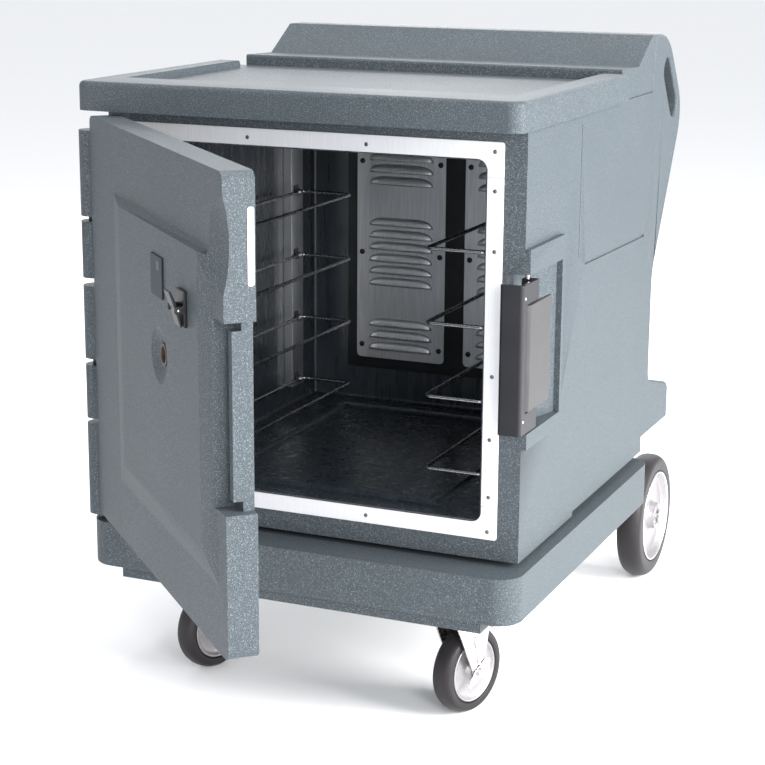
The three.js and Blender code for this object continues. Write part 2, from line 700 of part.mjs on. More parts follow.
const SHAFT_BORE = SHAFT_RADIUS + 2;
const PLENUM_REAR = CAVITY_DEPTH + LINER_SKIN + PLENUM_DEPTH;

function cavityLiner() {
  const halfPlenum = PLENUM_WIDTH / 2;
  const inside = box(-HALF_CAVITY, HALF_CAVITY, -1, CAVITY_DEPTH, CAVITY_BOTTOM, CAVITY_TOP);
  const plenum = box(-halfPlenum, halfPlenum, CAVITY_DEPTH - 1, PLENUM_REAR - LINER_SKIN,
    PLENUM_BOTTOM, PLENUM_TOP);
  const half = HALF_CAVITY - TRAY_INSET;
  const trayRear = CAVITY_DEPTH - TRAY_REAR;
  const rimOuter = box(-half, half, TRAY_FRONT, trayRear, CAVITY_BOTTOM - 1, CAVITY_BOTTOM + TRAY_RIM);
  const rimInner = box(-half + TRAY_RIM, half - TRAY_RIM, TRAY_FRONT + TRAY_RIM, trayRear - TRAY_RIM,
    CAVITY_BOTTOM - 2, CAVITY_BOTTOM + TRAY_RIM + 1);
  const shell = cut(linerBlock(0), inside, plenum, fanAxis(SHAFT_BORE, CAVITY_DEPTH, PLENUM_REAR + 1, 10));
  return join(shell, cut(rimOuter, rimInner));
}

function foamCore() {
  const motor = fanAxis(MOTOR_RADIUS + GAP, CAVITY_DEPTH, REAR_FACE, 20);
  const pin = latchAxis(LATCH_PIN + 2, LATCH_PIN_ENTRY + 2 * SKIN);
  return cut(shellSpace(GAP), linerBlock(GAP), motor, pin);
}

// ---------- lid and base ----------

function worktopLid() {
  const deckTop = LID_TOP - DECK_DROP;
  const beyond = UPSTAND_FRONT + 2 * LID_CORNER;
  const plan = roundedRect(LID_LEFT, LID_RIGHT, LID_FRONT, beyond, LID_CORNER);
  const slab = planPrism(plan, BODY_TOP + GAP, LID_TOP, 8);
  const rimEdge = LID_LEFT + RIM_WIDTH;
  const deck = box(rimEdge, LID_RIGHT - RIM_WIDTH, LID_FRONT + FRONT_RIM, beyond, deckTop, LID_TOP + 1);
  const rimEnd = box(LID_LEFT - 1, rimEdge + 1, UPSTAND_FRONT - RIM_GAP, beyond, deckTop, LID_TOP + 1);
  const back = box(LID_LEFT - 1, LID_RIGHT + 1, UPSTAND_FRONT - GAP, beyond + 1, BODY_TOP, LID_TOP + 1);
  const side = HALF_BODY - LID_WALL;
  const hollow = box(-side, side, LID_WALL, UPSTAND_FRONT - LID_WALL, BODY_TOP, deckTop - LID_WALL);
  return cut(slab, deck, rimEnd, back, hollow);
}

function rearUpstand() {
  const ledge = LID_TOP + UPSTAND_STEP;
  const footRear = HANDLE_FRONT - HANDLE_LEAN;
  const profile = outline([
    [UPSTAND_FRONT, BODY_TOP + GAP],
    [footRear - GAP, BODY_TOP + GAP],
    [HANDLE_FRONT - GAP, HANDLE_TOP],
    [HANDLE_FRONT - UPSTAND_CREST, HANDLE_TOP],
    [UPSTAND_FRONT + UPSTAND_LEDGE, ledge - EDGE_EASE],
    [UPSTAND_FRONT + EDGE_EASE, ledge],
    [UPSTAND_FRONT, ledge - EDGE_EASE],
  ]);
  const [left, right] = [-HALF_BODY + UPSTAND_INSET_LEFT, HALF_BODY - UPSTAND_INSET_RIGHT];
  const hollow = box(left + LID_WALL, right - LID_WALL, UPSTAND_FRONT + LID_WALL, footRear - LID_WALL,
    BODY_TOP, ledge - LID_WALL);
  return cut(sidePrism(profile, left, right), hollow);
}

function baseMoulding() {
  const plan = roundedRect(BASE_LEFT, BASE_RIGHT, BASE_FRONT, BASE_REAR, BASE_CORNER);
  const pan = planPrism(plan, BASE_BOTTOM, BASE_TOP, 8);
  const skirt = box(BASE_LEFT + SKIRT_INSET, BASE_RIGHT - SKIRT_INSET, BASE_FRONT + SKIRT_INSET_FRONT,
    BASE_REAR - SKIRT_INSET_REAR, SKIRT_BOTTOM, BASE_BOTTOM + 1);
  const side = HALF_BODY - PLINTH_INSET;
  const rear = BODY_REAR - PLINTH_INSET;
  const plinth = box(-side, side, PLINTH_INSET, rear, BASE_TOP - 1, BODY_BOTTOM - GAP);
  const riser = box(-side, side, BODY_STEP_DEPTH + 1, rear, BODY_BOTTOM - 1, BODY_BOTTOM + BODY_STEP - GAP);
  const innerPlan = roundedRect(BASE_LEFT + BASE_WALL, BASE_RIGHT - BASE_WALL, BASE_FRONT + BASE_WALL,
    BASE_REAR - BASE_WALL, BASE_CORNER - BASE_WALL);
  const inside = cut(
    planPrism(innerPlan, BASE_BOTTOM + BASE_WALL, BASE_TOP - BASE_WALL),
    bar(Z, [HINGE_X, HINGE_Y, 0], PIN_RADIUS + BASE_WALL, BASE_BOTTOM, BASE_TOP, 12),
  );
  const drainTop = BASE_BOTTOM + BASE_WALL + 1;
  const drain = bar(Z, [0, BODY_STEP_DEPTH, 0], DRAIN_RADIUS, SKIRT_BOTTOM - 1, drainTop, 12);
  return cut(join(pan, skirt, plinth, riser), pinSeat(BASE_TOP), inside, drain);
}

// ---------- trim frame ----------

// One end of the frame: a strip with both corners, whose legs meet the side strips.
function trimEnd(atTop) {
  const front = -GAP - TRIM_THICKNESS;
  const outer = roundedRect(-TRIM_OUT, TRIM_OUT, TRIM_LOW - TRIM_WIDTH, TRIM_HIGH + TRIM_WIDTH,
    TRIM_OUTER_CORNER);
  const inner = roundedRect(-TRIM_IN, TRIM_IN, TRIM_LOW, TRIM_HIGH, TRIM_CORNER);
  const ring = cut(frontPrism(outer, front, -GAP, 2), frontPrism(inner, front - 1, 0, 4));
  const middle = atTop ? TRIM_HIGH : TRIM_LOW;
  const reach = TRIM_OUT + 1;
  const [low, high] = atTop ? [TRIM_WIDTH, TRIM_WIDTH + 1] : [TRIM_WIDTH + 1, TRIM_WIDTH];
  return common(ring, box(-reach, reach, front - 1, 0, middle - low, middle + high));
}

function trimSide(sign) {
  const [x0, x1] = span(sign * TRIM_IN, sign * TRIM_OUT);
  const joint = TRIM_WIDTH + GAP;
  return box(x0, x1, -GAP - TRIM_THICKNESS, -GAP, TRIM_LOW + joint, TRIM_HIGH - joint);
}

// ---------- racks ----------

const RACK_OUTBOARD = HALF_CAVITY - RACK_WALL_GAP;
const RACK_INBOARD = RACK_OUTBOARD - RACK_WIDTH;
const RACK_ENDS = [RACK_FRONT, CAVITY_DEPTH - RACK_REAR_GAP];
const RACK_BASE = CAVITY_BOTTOM + RACK_LOWEST;
const RACK_LEVELS = Array.from({ length: RACK_COUNT }, (_, i) => RACK_BASE + i * RACK_PITCH);
const UPRIGHT_INNER = HALF_CAVITY - UPRIGHT_STANDOFF;
const UPRIGHT_PLACES = { front: UPRIGHT_FRONT_Y, rear: CAVITY_DEPTH - UPRIGHT_REAR_GAP };

// A rectangle of wire whose two hooks hang in the uprights' slots.
function rack(sign, level) {
  const [outboard, inboard] = [sign * RACK_OUTBOARD, sign * RACK_INBOARD];
  const [x0, x1] = span(inboard, outboard);
  const rails = [x0, x1].map((x) => bar(Y, [x, 0, level], RACK_WIRE, ...RACK_ENDS, RACK_SIDES));
  const ends = RACK_ENDS.map((y) => bar(X, [0, y, level], RACK_WIRE, x0, x1, RACK_SIDES));
  const corners = RACK_ENDS.flatMap((y) => [x0, x1].map((x) =>
    new THREE.SphereGeometry(RACK_WIRE * 1.08, RACK_SIDES, 6).translate(x, y, level)));
  const half = RACK_HOOK / 2;
  const hooks = Object.values(UPRIGHT_PLACES).map((place) => {
    const [h0, h1] = span(outboard, sign * (UPRIGHT_INNER + 2 * RACK_HOOK));
    const y = place - SLOT_BEHIND;
    return box(h0, h1, y - half, y + half, level - half, level + half);
  });
  return join(...rails, ...ends, ...corners, ...hooks);
}

// A channel on the cavity's side, open towards it and slotted for the racks' hooks.
function upright(sign, y) {
  const [x0, x1] = span(sign * UPRIGHT_INNER, sign * (HALF_CAVITY - GAP));
  const [h0, h1] = span(sign * (UPRIGHT_INNER + UPRIGHT_WALL), sign * (HALF_CAVITY + 1));
  const [s0, s1] = span(sign * (UPRIGHT_INNER - 1), sign * (UPRIGHT_INNER + UPRIGHT_WALL + 1));
  const half = UPRIGHT_WIDTH / 2;
  const low = CAVITY_BOTTOM + UPRIGHT_OVER_FLOOR;
  const high = CAVITY_TOP - UPRIGHT_UNDER_ROOF;
  const hollow = box(h0, h1, y - half + UPRIGHT_WALL, y + half - UPRIGHT_WALL, low - 1, high + 1);
  const slots = RACK_LEVELS.map((level) =>
    box(s0, s1, y - SLOT_AHEAD, y + SLOT_BEHIND, level - SLOT_BELOW, level + SLOT_ABOVE));
  return cut(box(x0, x1, y - half, y + half, low, high), hollow, ...slots);
}

// ---------- louvred panels, fan and heater ----------

const FRAME_FRONT = CAVITY_DEPTH - GAP - FRAME_THICKNESS;
const SHEET_INNER = SHEET_MIDDLE_GAP / 2;

function plenumFrame() {
  const half = PLENUM_WIDTH / 2 + FRAME_LAP;
  const plate = box(-half, half, FRAME_FRONT, CAVITY_DEPTH - GAP, PLENUM_BOTTOM - FRAME_LAP_ENDS,
    PLENUM_TOP + FRAME_LAP_ENDS);
  const windows = SIDES.map(([, sign]) => {
    const outer = SHEET_INNER + SHEET_WIDTH - FRAME_BORDER;
    const [x0, x1] = span(sign * (SHEET_INNER + FRAME_BORDER), sign * outer);
    const [low, high] = [PLENUM_BOTTOM + FRAME_BORDER, PLENUM_TOP - FRAME_BORDER];
    return box(x0, x1, FRAME_FRONT - 1, CAVITY_DEPTH, low, high);
  });
  return cut(plate, ...windows);
}

function louvrePanel(sign) {
  const [x0, x1] = span(sign * SHEET_INNER, sign * (SHEET_INNER + SHEET_WIDTH));
  const rear = FRAME_FRONT - GAP;
  const start = (x0 + x1 - LOUVRE_LENGTH) / 2;
  const slots = LOUVRE_GROUPS.flatMap(([lowest, count]) => Array.from({ length: count }, (_, i) => {
    const z = PLENUM_BOTTOM + lowest + i * LOUVRE_PITCH - LOUVRE_SLOT / 2;
    return box(start, start + LOUVRE_LENGTH, rear - SHEET - 1, rear + 1, z, z + LOUVRE_SLOT);
  }));
  return cut(box(x0, x1, rear - SHEET, rear, PLENUM_BOTTOM, PLENUM_TOP), ...slots);
}

const FAN_FRONT = CAVITY_DEPTH + FAN_CLEAR;
const FAN_REAR = FAN_FRONT + FAN_DEPTH;

// A centrifugal wheel: a back plate with straight blades round its rim.
function fanImpeller() {
  const height = PLENUM_TOP - FAN_UNDER_PLENUM;
  const half = BLADE_WALL / 2;
  const blades = Array.from({ length: FAN_BLADES }, (_, i) => {
    const blade = box(FAN_RADIUS - BLADE_LENGTH, FAN_RADIUS - 1, FAN_FRONT, FAN_REAR - 1, -half, half);
    return blade.rotateY((i * 2 * Math.PI) / FAN_BLADES).translate(0, 0, height);
  });
  const wheel = join(
    fanAxis(FAN_RADIUS, FAN_REAR - BACKPLATE, FAN_REAR, 24),
    fanAxis(FAN_HUB, FAN_FRONT + 4, FAN_REAR - 1, 12),
    ...blades,
  );
  return cut(wheel, fanAxis(SHAFT_RADIUS + GAP, FAN_FRONT, FAN_REAR + 1, 10));
}

function fanMotor() {
  const front = PLENUM_REAR + GAP;
  return join(
    fanAxis(MOTOR_RADIUS, front, front + MOTOR_LENGTH, 20),
    fanAxis(SHAFT_RADIUS, FAN_FRONT + FAN_CLEAR, front + 1, 10),
  );
}

// A sheathed element folded into a flat serpentine below the fan.
function heatingElement() {
  const y = CAVITY_DEPTH + HEATER_STANDOFF;
  const level = (row) => PLENUM_BOTTOM + HEATER_OVER_PLENUM + row * HEATER_RISE;
  const rows = Array.from({ length: HEATER_ROWS }, (_, i) =>
    bar(X, [0, y, level(i)], HEATER_WIRE, -HEATER_SPAN, HEATER_SPAN, 8));
  const bends = Array.from({ length: HEATER_ROWS - 1 }, (_, i) => {
    const x = i % 2 === 0 ? HEATER_SPAN : -HEATER_SPAN;
    return bar(Z, [x, y, 0], HEATER_WIRE, level(i) - HEATER_WIRE, level(i + 1) + HEATER_WIRE, 8);
  });
  return join(...rows, ...bends);
}

// ---------- rear controls ----------

const CONTROL_FACE = REAR_FACE + GAP + CONTROL_THICKNESS;
const CONTROL_TOP = HANDLE_FOOT - CONTROL_DROP;
const CONTROL_BOTTOM = CONTROL_TOP - CONTROL_HEIGHT;
const CONTROL_Z = CONTROL_BOTTOM + CONTROL_AXIS;

// A box centred on the controls' level, grown by a clearance all round.
function controlBox(x, width, height, y0, y1, grow = 0) {
  const [halfWidth, halfHeight] = [width / 2 + grow, height / 2 + grow];
  return box(x - halfWidth, x + halfWidth, y0, y1, CONTROL_Z - halfHeight, CONTROL_Z + halfHeight);
}

function controlPlate() {
  const half = CONTROL_WIDTH / 2;
  const shape = roundedRect(-half, half, CONTROL_BOTTOM, CONTROL_TOP, CONTROL_CORNER);
  const inletFace = CONTROL_FACE + INLET_STAND;
  const inlet = controlBox(INLET_X, INLET_WIDTH, INLET_HEIGHT, CONTROL_FACE - 1, inletFace);
  return cut(
    join(frontPrism(shape, REAR_FACE + GAP, CONTROL_FACE, 3), inlet),
    controlBox(INLET_X, INLET_WIDTH, INLET_HEIGHT, CONTROL_FACE + 2, inletFace + 1, -INLET_WALL),
    bar(Y, [DIAL_X, 0, CONTROL_Z], DIAL_SPINDLE + GAP, REAR_FACE, CONTROL_FACE + 1, 10),
    controlBox(SWITCH_X, SWITCH_WIDTH, SWITCH_HEIGHT, REAR_FACE, CONTROL_FACE + 1, SWITCH_GAP),
  );
}

function thermostatDial() {
  const face = CONTROL_FACE + DIAL_THICKNESS;
  return join(
    bar(Y, [DIAL_X, 0, CONTROL_Z], DIAL_RADIUS, CONTROL_FACE + GAP, face, 24),
    controlBox(DIAL_X, DIAL_GRIP_WALL, 2 * (DIAL_RADIUS - 3), face - 1, CONTROL_FACE + DIAL_GRIP),
    bar(Y, [DIAL_X, 0, CONTROL_Z], DIAL_SPINDLE, REAR_FACE + GAP, face - 1, 10),
  );
}

// The rocker tips about the plate's outer face.
function powerSwitch() {
  const half = SWITCH_HEIGHT / 2;
  const profile = outline([
    [CONTROL_FACE - 1, CONTROL_Z - half],
    [CONTROL_FACE + SWITCH_STAND, CONTROL_Z - half],
    [CONTROL_FACE + SWITCH_STAND / 2, CONTROL_Z],
    [CONTROL_FACE + SWITCH_STAND, CONTROL_Z + half],
    [CONTROL_FACE - 1, CONTROL_Z + half],
  ]);
  return sidePrism(profile, SWITCH_X - SWITCH_WIDTH / 2, SWITCH_X + SWITCH_WIDTH / 2);
}

// ---------- hinge pins ----------

// A pin stands in the seat below it and reaches into the door's knuckle above.
function hingePin(seatTop, knuckleFoot) {
  const reach = PIN_ENTRY - GAP;
  return bar(Z, [HINGE_X, HINGE_Y, 0], PIN_RADIUS, seatTop - reach, knuckleFoot + reach, 12);
}

// ---------- door ----------

// A box in the door's frame: along the width, outwards and up.
function doorBox(s0, s1, n0, n1, z0, z1) {
  return box(s0, s1, -n1, -n0, z0, z1);
}

function doorSlab(inset, outer, inner) {
  const shape = roundedRect(DOOR_START + inset, DOOR_WIDTH - inset, DOOR_BOTTOM + inset, DOOR_TOP - inset,
    DOOR_CORNER - inset);
  return frontPrism(shape, -outer, -inner, 3);
}

// The raised middle of the door's face, bevelled down to the face on all four sides.
function raisedPanel() {
  const [left, right] = [DOOR_START + PANEL_START, DOOR_WIDTH - PANEL_END];
  const [low, high] = [DOOR_BOTTOM + PANEL_OVER_FOOT, DOOR_TOP - PANEL_UNDER_TOP];
  const options = {
    depth: 1, bevelEnabled: true, bevelThickness: PANEL_RAISE, bevelSize: PANEL_BEVEL,
    bevelOffset: -PANEL_BEVEL, bevelSegments: 1,
  };
  const shape = outline([[left, low], [right, low], [right, high], [left, high]]);
  const lozenge = orient(new THREE.ExtrudeGeometry(shape, options), X, Z, Y.clone().negate());
  return common(
    lozenge.translate(0, options.depth + PANEL_RAISE - PANEL_FACE, 0),
    doorBox(0, DOOR_WIDTH, DOOR_OUTER - 1, PANEL_FACE + 1, DOOR_BOTTOM, DOOR_TOP),
  );
}

// The block of solid moulding round the latch pocket and behind it.
function latchBlock(grow) {
  return doorBox(LATCH_POCKET_START - grow, DOOR_WIDTH + 1, DOOR_INNER - 1, DOOR_OUTER + 1,
    LATCH_POCKET_BOTTOM - grow, LATCH_POCKET_TOP + grow);
}

function doorLatchPocket() {
  return doorBox(LATCH_POCKET_START, DOOR_WIDTH + 1, LATCH_POCKET_FLOOR, PANEL_FACE + 1,
    LATCH_POCKET_BOTTOM, LATCH_POCKET_TOP);
}

// The lip left behind the latch pocket stops short of the door's edge.
function lipCut() {
  return doorBox(DOOR_WIDTH - LIP_SETBACK, DOOR_WIDTH + 1, DOOR_INNER - 1, LATCH_POCKET_FLOOR + 1,
    LATCH_POCKET_BOTTOM, LATCH_POCKET_TOP);
}

// The ridge on the lip that the latch's nose hooks over.
function strike() {
  const edge = DOOR_WIDTH - LIP_SETBACK;
  return doorBox(edge - STRIKE_WIDTH, edge, LATCH_POCKET_FLOOR - 1, STRIKE_FACE,
    LATCH_POCKET_BOTTOM + STRIKE_MARGIN, LATCH_POCKET_TOP - STRIKE_MARGIN);
}

// A rounded hollow in the front of the free edge, for pulling the door open.
function fingerScoop(grow) {
  const ball = new THREE.SphereGeometry(SCOOP_RADIUS + grow, 32, 20);
  ball.scale(1, SCOOP_FLATTEN, SCOOP_SQUASH);
  return ball.translate(DOOR_WIDTH + SCOOP_OUT, -DOOR_OUTER - SCOOP_PROUD, DOOR_TOP - SCOOP_DROP);
}

function doorKnuckle({ top, foot }) {
  return join(
    bar(Z, [0, 0, 0], KNUCKLE_RADIUS, foot, top, 28),
    doorBox(4, DOOR_START + 4, -PIN_RADIUS, DOOR_OUTER, foot, top),
  );
}

// The blind hole for a hinge pin, open at the foot of a door knuckle.
function doorPinSeat({ foot }) {
  return bar(Z, [0, 0, 0], PIN_RADIUS + GAP, foot - 1, foot + PIN_ENTRY, 12);
}

const VENT_S = DOOR_WIDTH - VENT_IN;
const VENT_Z = DOOR_TOP - VENT_DROP;
const VENT_FLOOR = -PANEL_FACE + VENT_DISH_DEPTH;

// A bar along the vent's axis, between two places on the door's local Y axis, which points inwards.
function ventAxis(radius, from, to, sides = 20) {
  return bar(Y, [VENT_S, 0, VENT_Z], radius, from, to, sides);
}

function ventDish() {
  const dish = new THREE.CylinderGeometry(VENT_DISH_RADIUS, VENT_RADIUS + VENT_LEDGE, VENT_DISH_DEPTH, 24);
  return dish.rotateX(Math.PI).translate(VENT_S, VENT_FLOOR - VENT_DISH_DEPTH / 2, VENT_Z);
}

// The space inside the door, shrunk for the foam that fills it.
function doorSpace(shrink) {
  const wall = DOOR_SKIN + shrink;
  return cut(
    doorSlab(wall, DOOR_OUTER - wall, DOOR_INNER + DOOR_LINER + shrink),
    latchBlock(wall),
    fingerScoop(wall),
    ventAxis(VENT_DISH_RADIUS + wall, -PANEL_FACE, VENT_FLOOR + VENT_DEPTH + wall, 24),
  );
}

// The opening in the door's inner side, where the liner sits.
function linerSeat() {
  return cut(
    doorSlab(DOOR_SKIN, DOOR_INNER + DOOR_LINER + 0.5, DOOR_INNER - 1),
    latchBlock(DOOR_SKIN),
    fingerScoop(DOOR_SKIN),
  );
}

function doorShell() {
  const whole = join(doorSlab(0, DOOR_OUTER, DOOR_INNER), raisedPanel(), ...DOOR_KNUCKLES.map(doorKnuckle));
  const shell = cut(
    whole,
    doorSpace(0),
    linerSeat(),
    doorLatchPocket(),
    lipCut(),
    fingerScoop(0),
    ventDish(),
    ventAxis(VENT_RADIUS + GAP, -PANEL_FACE, VENT_FLOOR + VENT_DEPTH),
    ...DOOR_KNUCKLES.map(doorPinSeat),
  );
  return join(shell, strike());
}

// The ring seal faces the trim round the cabinet's mouth when the door is shut.
function gasketRing(inset, front, rear) {
  const middle = -HINGE_X;
  const side = TRIM_OUT - GASKET_INSET - inset;
  const high = TRIM_HIGH + TRIM_WIDTH - GASKET_INSET - inset;
  const low = TRIM_LOW - TRIM_WIDTH + GASKET_INSET + inset;
  const width = GASKET_WIDTH - 2 * inset;
  const outer = roundedRect(middle - side, middle + side, low, high, GASKET_CORNER - inset);
  const inner = roundedRect(middle - side + width, middle + side - width, low + width, high - width,
    GASKET_CORNER / 2 + inset);
  return cut(frontPrism(outer, front, rear, 2), frontPrism(inner, front - 1, rear + 1, 2));
}

function doorLiner() {
  const wall = DOOR_SKIN + GAP;
  return cut(
    doorSlab(wall, DOOR_INNER + DOOR_LINER, DOOR_INNER),
    latchBlock(wall),
    fingerScoop(wall),
    gasketRing(0, -DOOR_INNER - GASKET_GROOVE, -DOOR_INNER + 1),
  );
}

function doorGasket() {
  return gasketRing(GAP, -DOOR_INNER - GASKET_GROOVE + GAP, -DOOR_INNER + GASKET_STAND);
}

function gaugePlate() {
  const [s, z] = [DOOR_WIDTH - GAUGE_IN, DOOR_TOP - GAUGE_DROP];
  const half = GAUGE_SIZE / 2;
  return doorBox(s - half, s + half, PANEL_FACE + GAP, PANEL_FACE + GAUGE_THICKNESS, z - half, z + half);
}

const CLIP_S = DOOR_WIDTH - CLIP_IN;
const CLIP_Z = DOOR_TOP - CLIP_DROP;
const CLIP_PIVOT_N = PANEL_FACE + CLIP_STANDOFF;

function clipBase() {
  const [half, tall] = [CLIP_WIDTH / 2, CLIP_HEIGHT / 2];
  const ears = SIDES.map(([, sign]) => {
    const [s0, s1] = span(sign * half, sign * (half - CLIP_PLATE));
    return doorBox(CLIP_S + s0, CLIP_S + s1, PANEL_FACE + CLIP_PLATE - 1, CLIP_PIVOT_N + CLIP_EAR / 2,
      CLIP_Z - CLIP_EAR / 2, CLIP_Z + CLIP_EAR / 2);
  });
  const plate = doorBox(CLIP_S - half, CLIP_S + half, PANEL_FACE + GAP, PANEL_FACE + CLIP_PLATE,
    CLIP_Z - tall, CLIP_Z + tall);
  return join(plate, ...ears);
}

// The sprung jaw: pressing its upper end lifts the lower edge off the base.
function clipJaw() {
  const foot = PANEL_FACE + CLIP_PLATE + 2 * GAP;
  const tall = CLIP_HEIGHT / 2;
  const half = CLIP_WIDTH / 2 - CLIP_PLATE - JAW_SIDE;
  const profile = outline([
    [-foot, CLIP_Z - tall],
    [-foot - JAW_THICKNESS, CLIP_Z - tall],
    [-CLIP_PIVOT_N - JAW_THICKNESS, CLIP_Z],
    [-CLIP_PIVOT_N - JAW_FLARE, CLIP_Z + tall],
    [-CLIP_PIVOT_N - JAW_FLARE + JAW_THICKNESS, CLIP_Z + tall + 1],
    [-CLIP_PIVOT_N + JAW_THICKNESS, CLIP_Z],
  ]);
  return sidePrism(profile, CLIP_S - half, CLIP_S + half);
}

function ventPlug() {
  const front = VENT_FLOOR - 2;
  return cut(
    ventAxis(VENT_RADIUS, front, VENT_FLOOR + VENT_DEPTH - GAP),
    ventAxis(VENT_RADIUS - SKIN, front - 1, VENT_FLOOR + VENT_RECESS, 16),
  );
}

function door() {
  const group = new THREE.Group();
  group.position.set(HINGE_X, HINGE_Y, 0);
  group.rotation.z = -THREE.MathUtils.degToRad(DOOR_OPEN);
  group.add(mesh('door_shell', doorShell(), SHELL));
  group.add(mesh('door_foam', doorSpace(GAP), FOAM));
  group.add(mesh('door_liner', doorLiner(), LINER));
  group.add(mesh('door_gasket', doorGasket(), SEAL));
  group.add(mesh('door_gauge', gaugePlate(), BLACK));
  group.add(mesh('menu_clip_base', clipBase(), BLACK));
  group.add(mesh('menu_clip_jaw', clipJaw(), BLACK));
  group.add(mesh('vent_plug', ventPlug(), SEAL));
  return group;
}

// ---------- latch ----------

// A bar along the latch's pivot, running past the arm by the same length at both ends.
function latchAxis(radius, past) {
  return bar(Z, [LATCH_PIVOT_X, LATCH_PIVOT_Y, 0], radius, LATCH_BOTTOM - past, LATCH_TOP + past, 10);
}

// A channel that hooks round the door's strike, with a window for the paddle.
function latchArm() {
  const inside = LATCH_FACE - LATCH_WALL;
  const [rear, front] = [LATCH_PIVOT_Y + LATCH_BOSS, LATCH_PIVOT_Y - LATCH_BOSS];
  const bossSide = LATCH_PIVOT_X - LATCH_BOSS;
  const plan = outline([
    [LATCH_FACE, LATCH_FRONT],
    [LATCH_FACE, rear],
    [bossSide, rear],
    [bossSide, front],
    [inside, front],
    [inside, LATCH_FRONT + LATCH_WALL],
    [LATCH_FACE - LATCH_NOSE, LATCH_FRONT + LATCH_WALL],
    [LATCH_FACE - LATCH_NOSE, LATCH_FRONT],
  ]);
  const [low, high] = [LATCH_BOTTOM + WINDOW_MARGIN, LATCH_TOP - WINDOW_MARGIN];
  const window = box(inside - 1, LATCH_FACE + 1, LATCH_FRONT + WINDOW_FRONT, rear + 1, low, high);
  const betweenBosses = box(bossSide - 1, LATCH_FACE + 1, front - 1, rear + 1, low, high);
  return cut(planPrism(plan, LATCH_BOTTOM, LATCH_TOP), latchAxis(LATCH_PIN + GAP, 1), window, betweenBosses);
}

// The paddle fills the arm's window and reaches back over the finger pocket.
function latchPaddle() {
  const front = LATCH_FRONT + WINDOW_FRONT + PADDLE_GAP;
  const rear = LATCH_PIVOT_Y + PADDLE_REACH;
  const proud = LATCH_FACE + PADDLE_PROUD;
  const inside = proud - PADDLE_WALL;
  const plan = outline([
    [LATCH_FACE - PADDLE_PROUD, front],
    [proud, front + PADDLE_WALL],
    [proud, rear],
    [inside, rear],
    [inside - PADDLE_PROUD, front + PADDLE_GAP],
  ]);
  const margin = WINDOW_MARGIN + PADDLE_GAP;
  return planPrism(plan, LATCH_BOTTOM + margin, LATCH_TOP - margin);
}

// ---------- wheels ----------

// Half of a wheel's section as [radius, distance from the middle] pairs, mirrored into a closed one.
function mirrored(half) {
  return [...half.map(([radius, x]) => [radius, -x]), ...half.toReversed()];
}

function casterHub() {
  const half = CASTER_TREAD / 2;
  const rim = CASTER_RADIUS - CASTER_TYRE;
  return turned(mirrored([
    [CASTER_AXLE + GAP, half + 3], [CASTER_AXLE + 11, half + 3], [CASTER_AXLE + 12, half - 3],
    [rim - 16, half - 9], [rim - 8, half - 2], [rim, half - 1],
  ]), 28);
}

function casterTyre() {
  const half = CASTER_TREAD / 2;
  const rim = CASTER_RADIUS - CASTER_TYRE;
  return turned(mirrored([
    [rim + GAP, half - 2], [rim + 4, half], [CASTER_RADIUS - 7, half - 1], [CASTER_RADIUS - 1.5, half - 8],
    [CASTER_RADIUS, 1],
  ]), 36);
}

function brakePin(radius) {
  const reach = CASTER_TREAD / 2 + FORK_SIDE + FORK_WALL;
  const z = 2 * CASTER_RADIUS + BRAKE_PIVOT_RISE;
  return bar(X, [0, CASTER_TRAIL + BRAKE_PIVOT_Y, z], radius, -reach, reach, 8);
}

const RACE_BOTTOM = SKIRT_BOTTOM - GAP - CASTER_PLATE - CASTER_RACE;

function casterFork() {
  const inner = CASTER_TREAD / 2 + FORK_SIDE;
  const outer = inner + FORK_WALL;
  const top = RACE_BOTTOM - GAP;
  const rear = CASTER_TRAIL + FORK_REAR;
  const legShape = outline([
    [-FORK_FRONT, top],
    [rear, top],
    [rear, 2 * CASTER_RADIUS + 2],
    [CASTER_TRAIL + FORK_FOOT, CASTER_RADIUS - 2],
    [CASTER_TRAIL, CASTER_RADIUS - FORK_FOOT],
    [CASTER_TRAIL - FORK_FOOT, CASTER_RADIUS - 2],
  ]);
  return join(
    box(-outer, outer, -FORK_FRONT, rear, top - FORK_CROWN, top),
    sidePrism(legShape, -outer, -inner),
    sidePrism(legShape, inner, outer),
    bar(X, [0, CASTER_TRAIL, CASTER_RADIUS], CASTER_AXLE, -outer - 8, outer + 8, 10),
    brakePin(BRAKE_PIN),
  );
}

// The pedal sits above the tyre's trailing side and is pressed down on to it.
function casterBrake() {
  const half = CASTER_TREAD / 2 + 2;
  const clear = CASTER_RADIUS + BRAKE_CLEARANCE;
  const place = (degrees, radius) => {
    const angle = THREE.MathUtils.degToRad(degrees);
    return [CASTER_TRAIL + radius * Math.cos(angle), CASTER_RADIUS + radius * Math.sin(angle)];
  };
  const shape = outline([
    place(80, clear + 2),
    place(46, clear + 3),
    [CASTER_TRAIL + BRAKE_REACH, CASTER_RADIUS + BRAKE_REACH / 2],
    [CASTER_TRAIL + BRAKE_REACH, CASTER_RADIUS + BRAKE_REACH / 2 + BRAKE_THICKNESS / 2],
    place(48, clear + BRAKE_THICKNESS + 2),
    place(70, clear + 2 * BRAKE_THICKNESS - 4),
    place(80, clear + BRAKE_THICKNESS + 4),
  ]);
  return cut(sidePrism(shape, -half, half), brakePin(BRAKE_PIN + 2 * GAP));
}

function casterPlate() {
  const top = SKIRT_BOTTOM - GAP;
  const [half, long] = [CASTER_PLATE_WIDTH / 2, CASTER_PLATE_LENGTH / 2];
  return join(
    box(-half, half, -long, long, top - CASTER_PLATE, top),
    bar(Z, [0, 0, 0], CASTER_RACE_RADIUS, RACE_BOTTOM, top - 1, 20),
  );
}

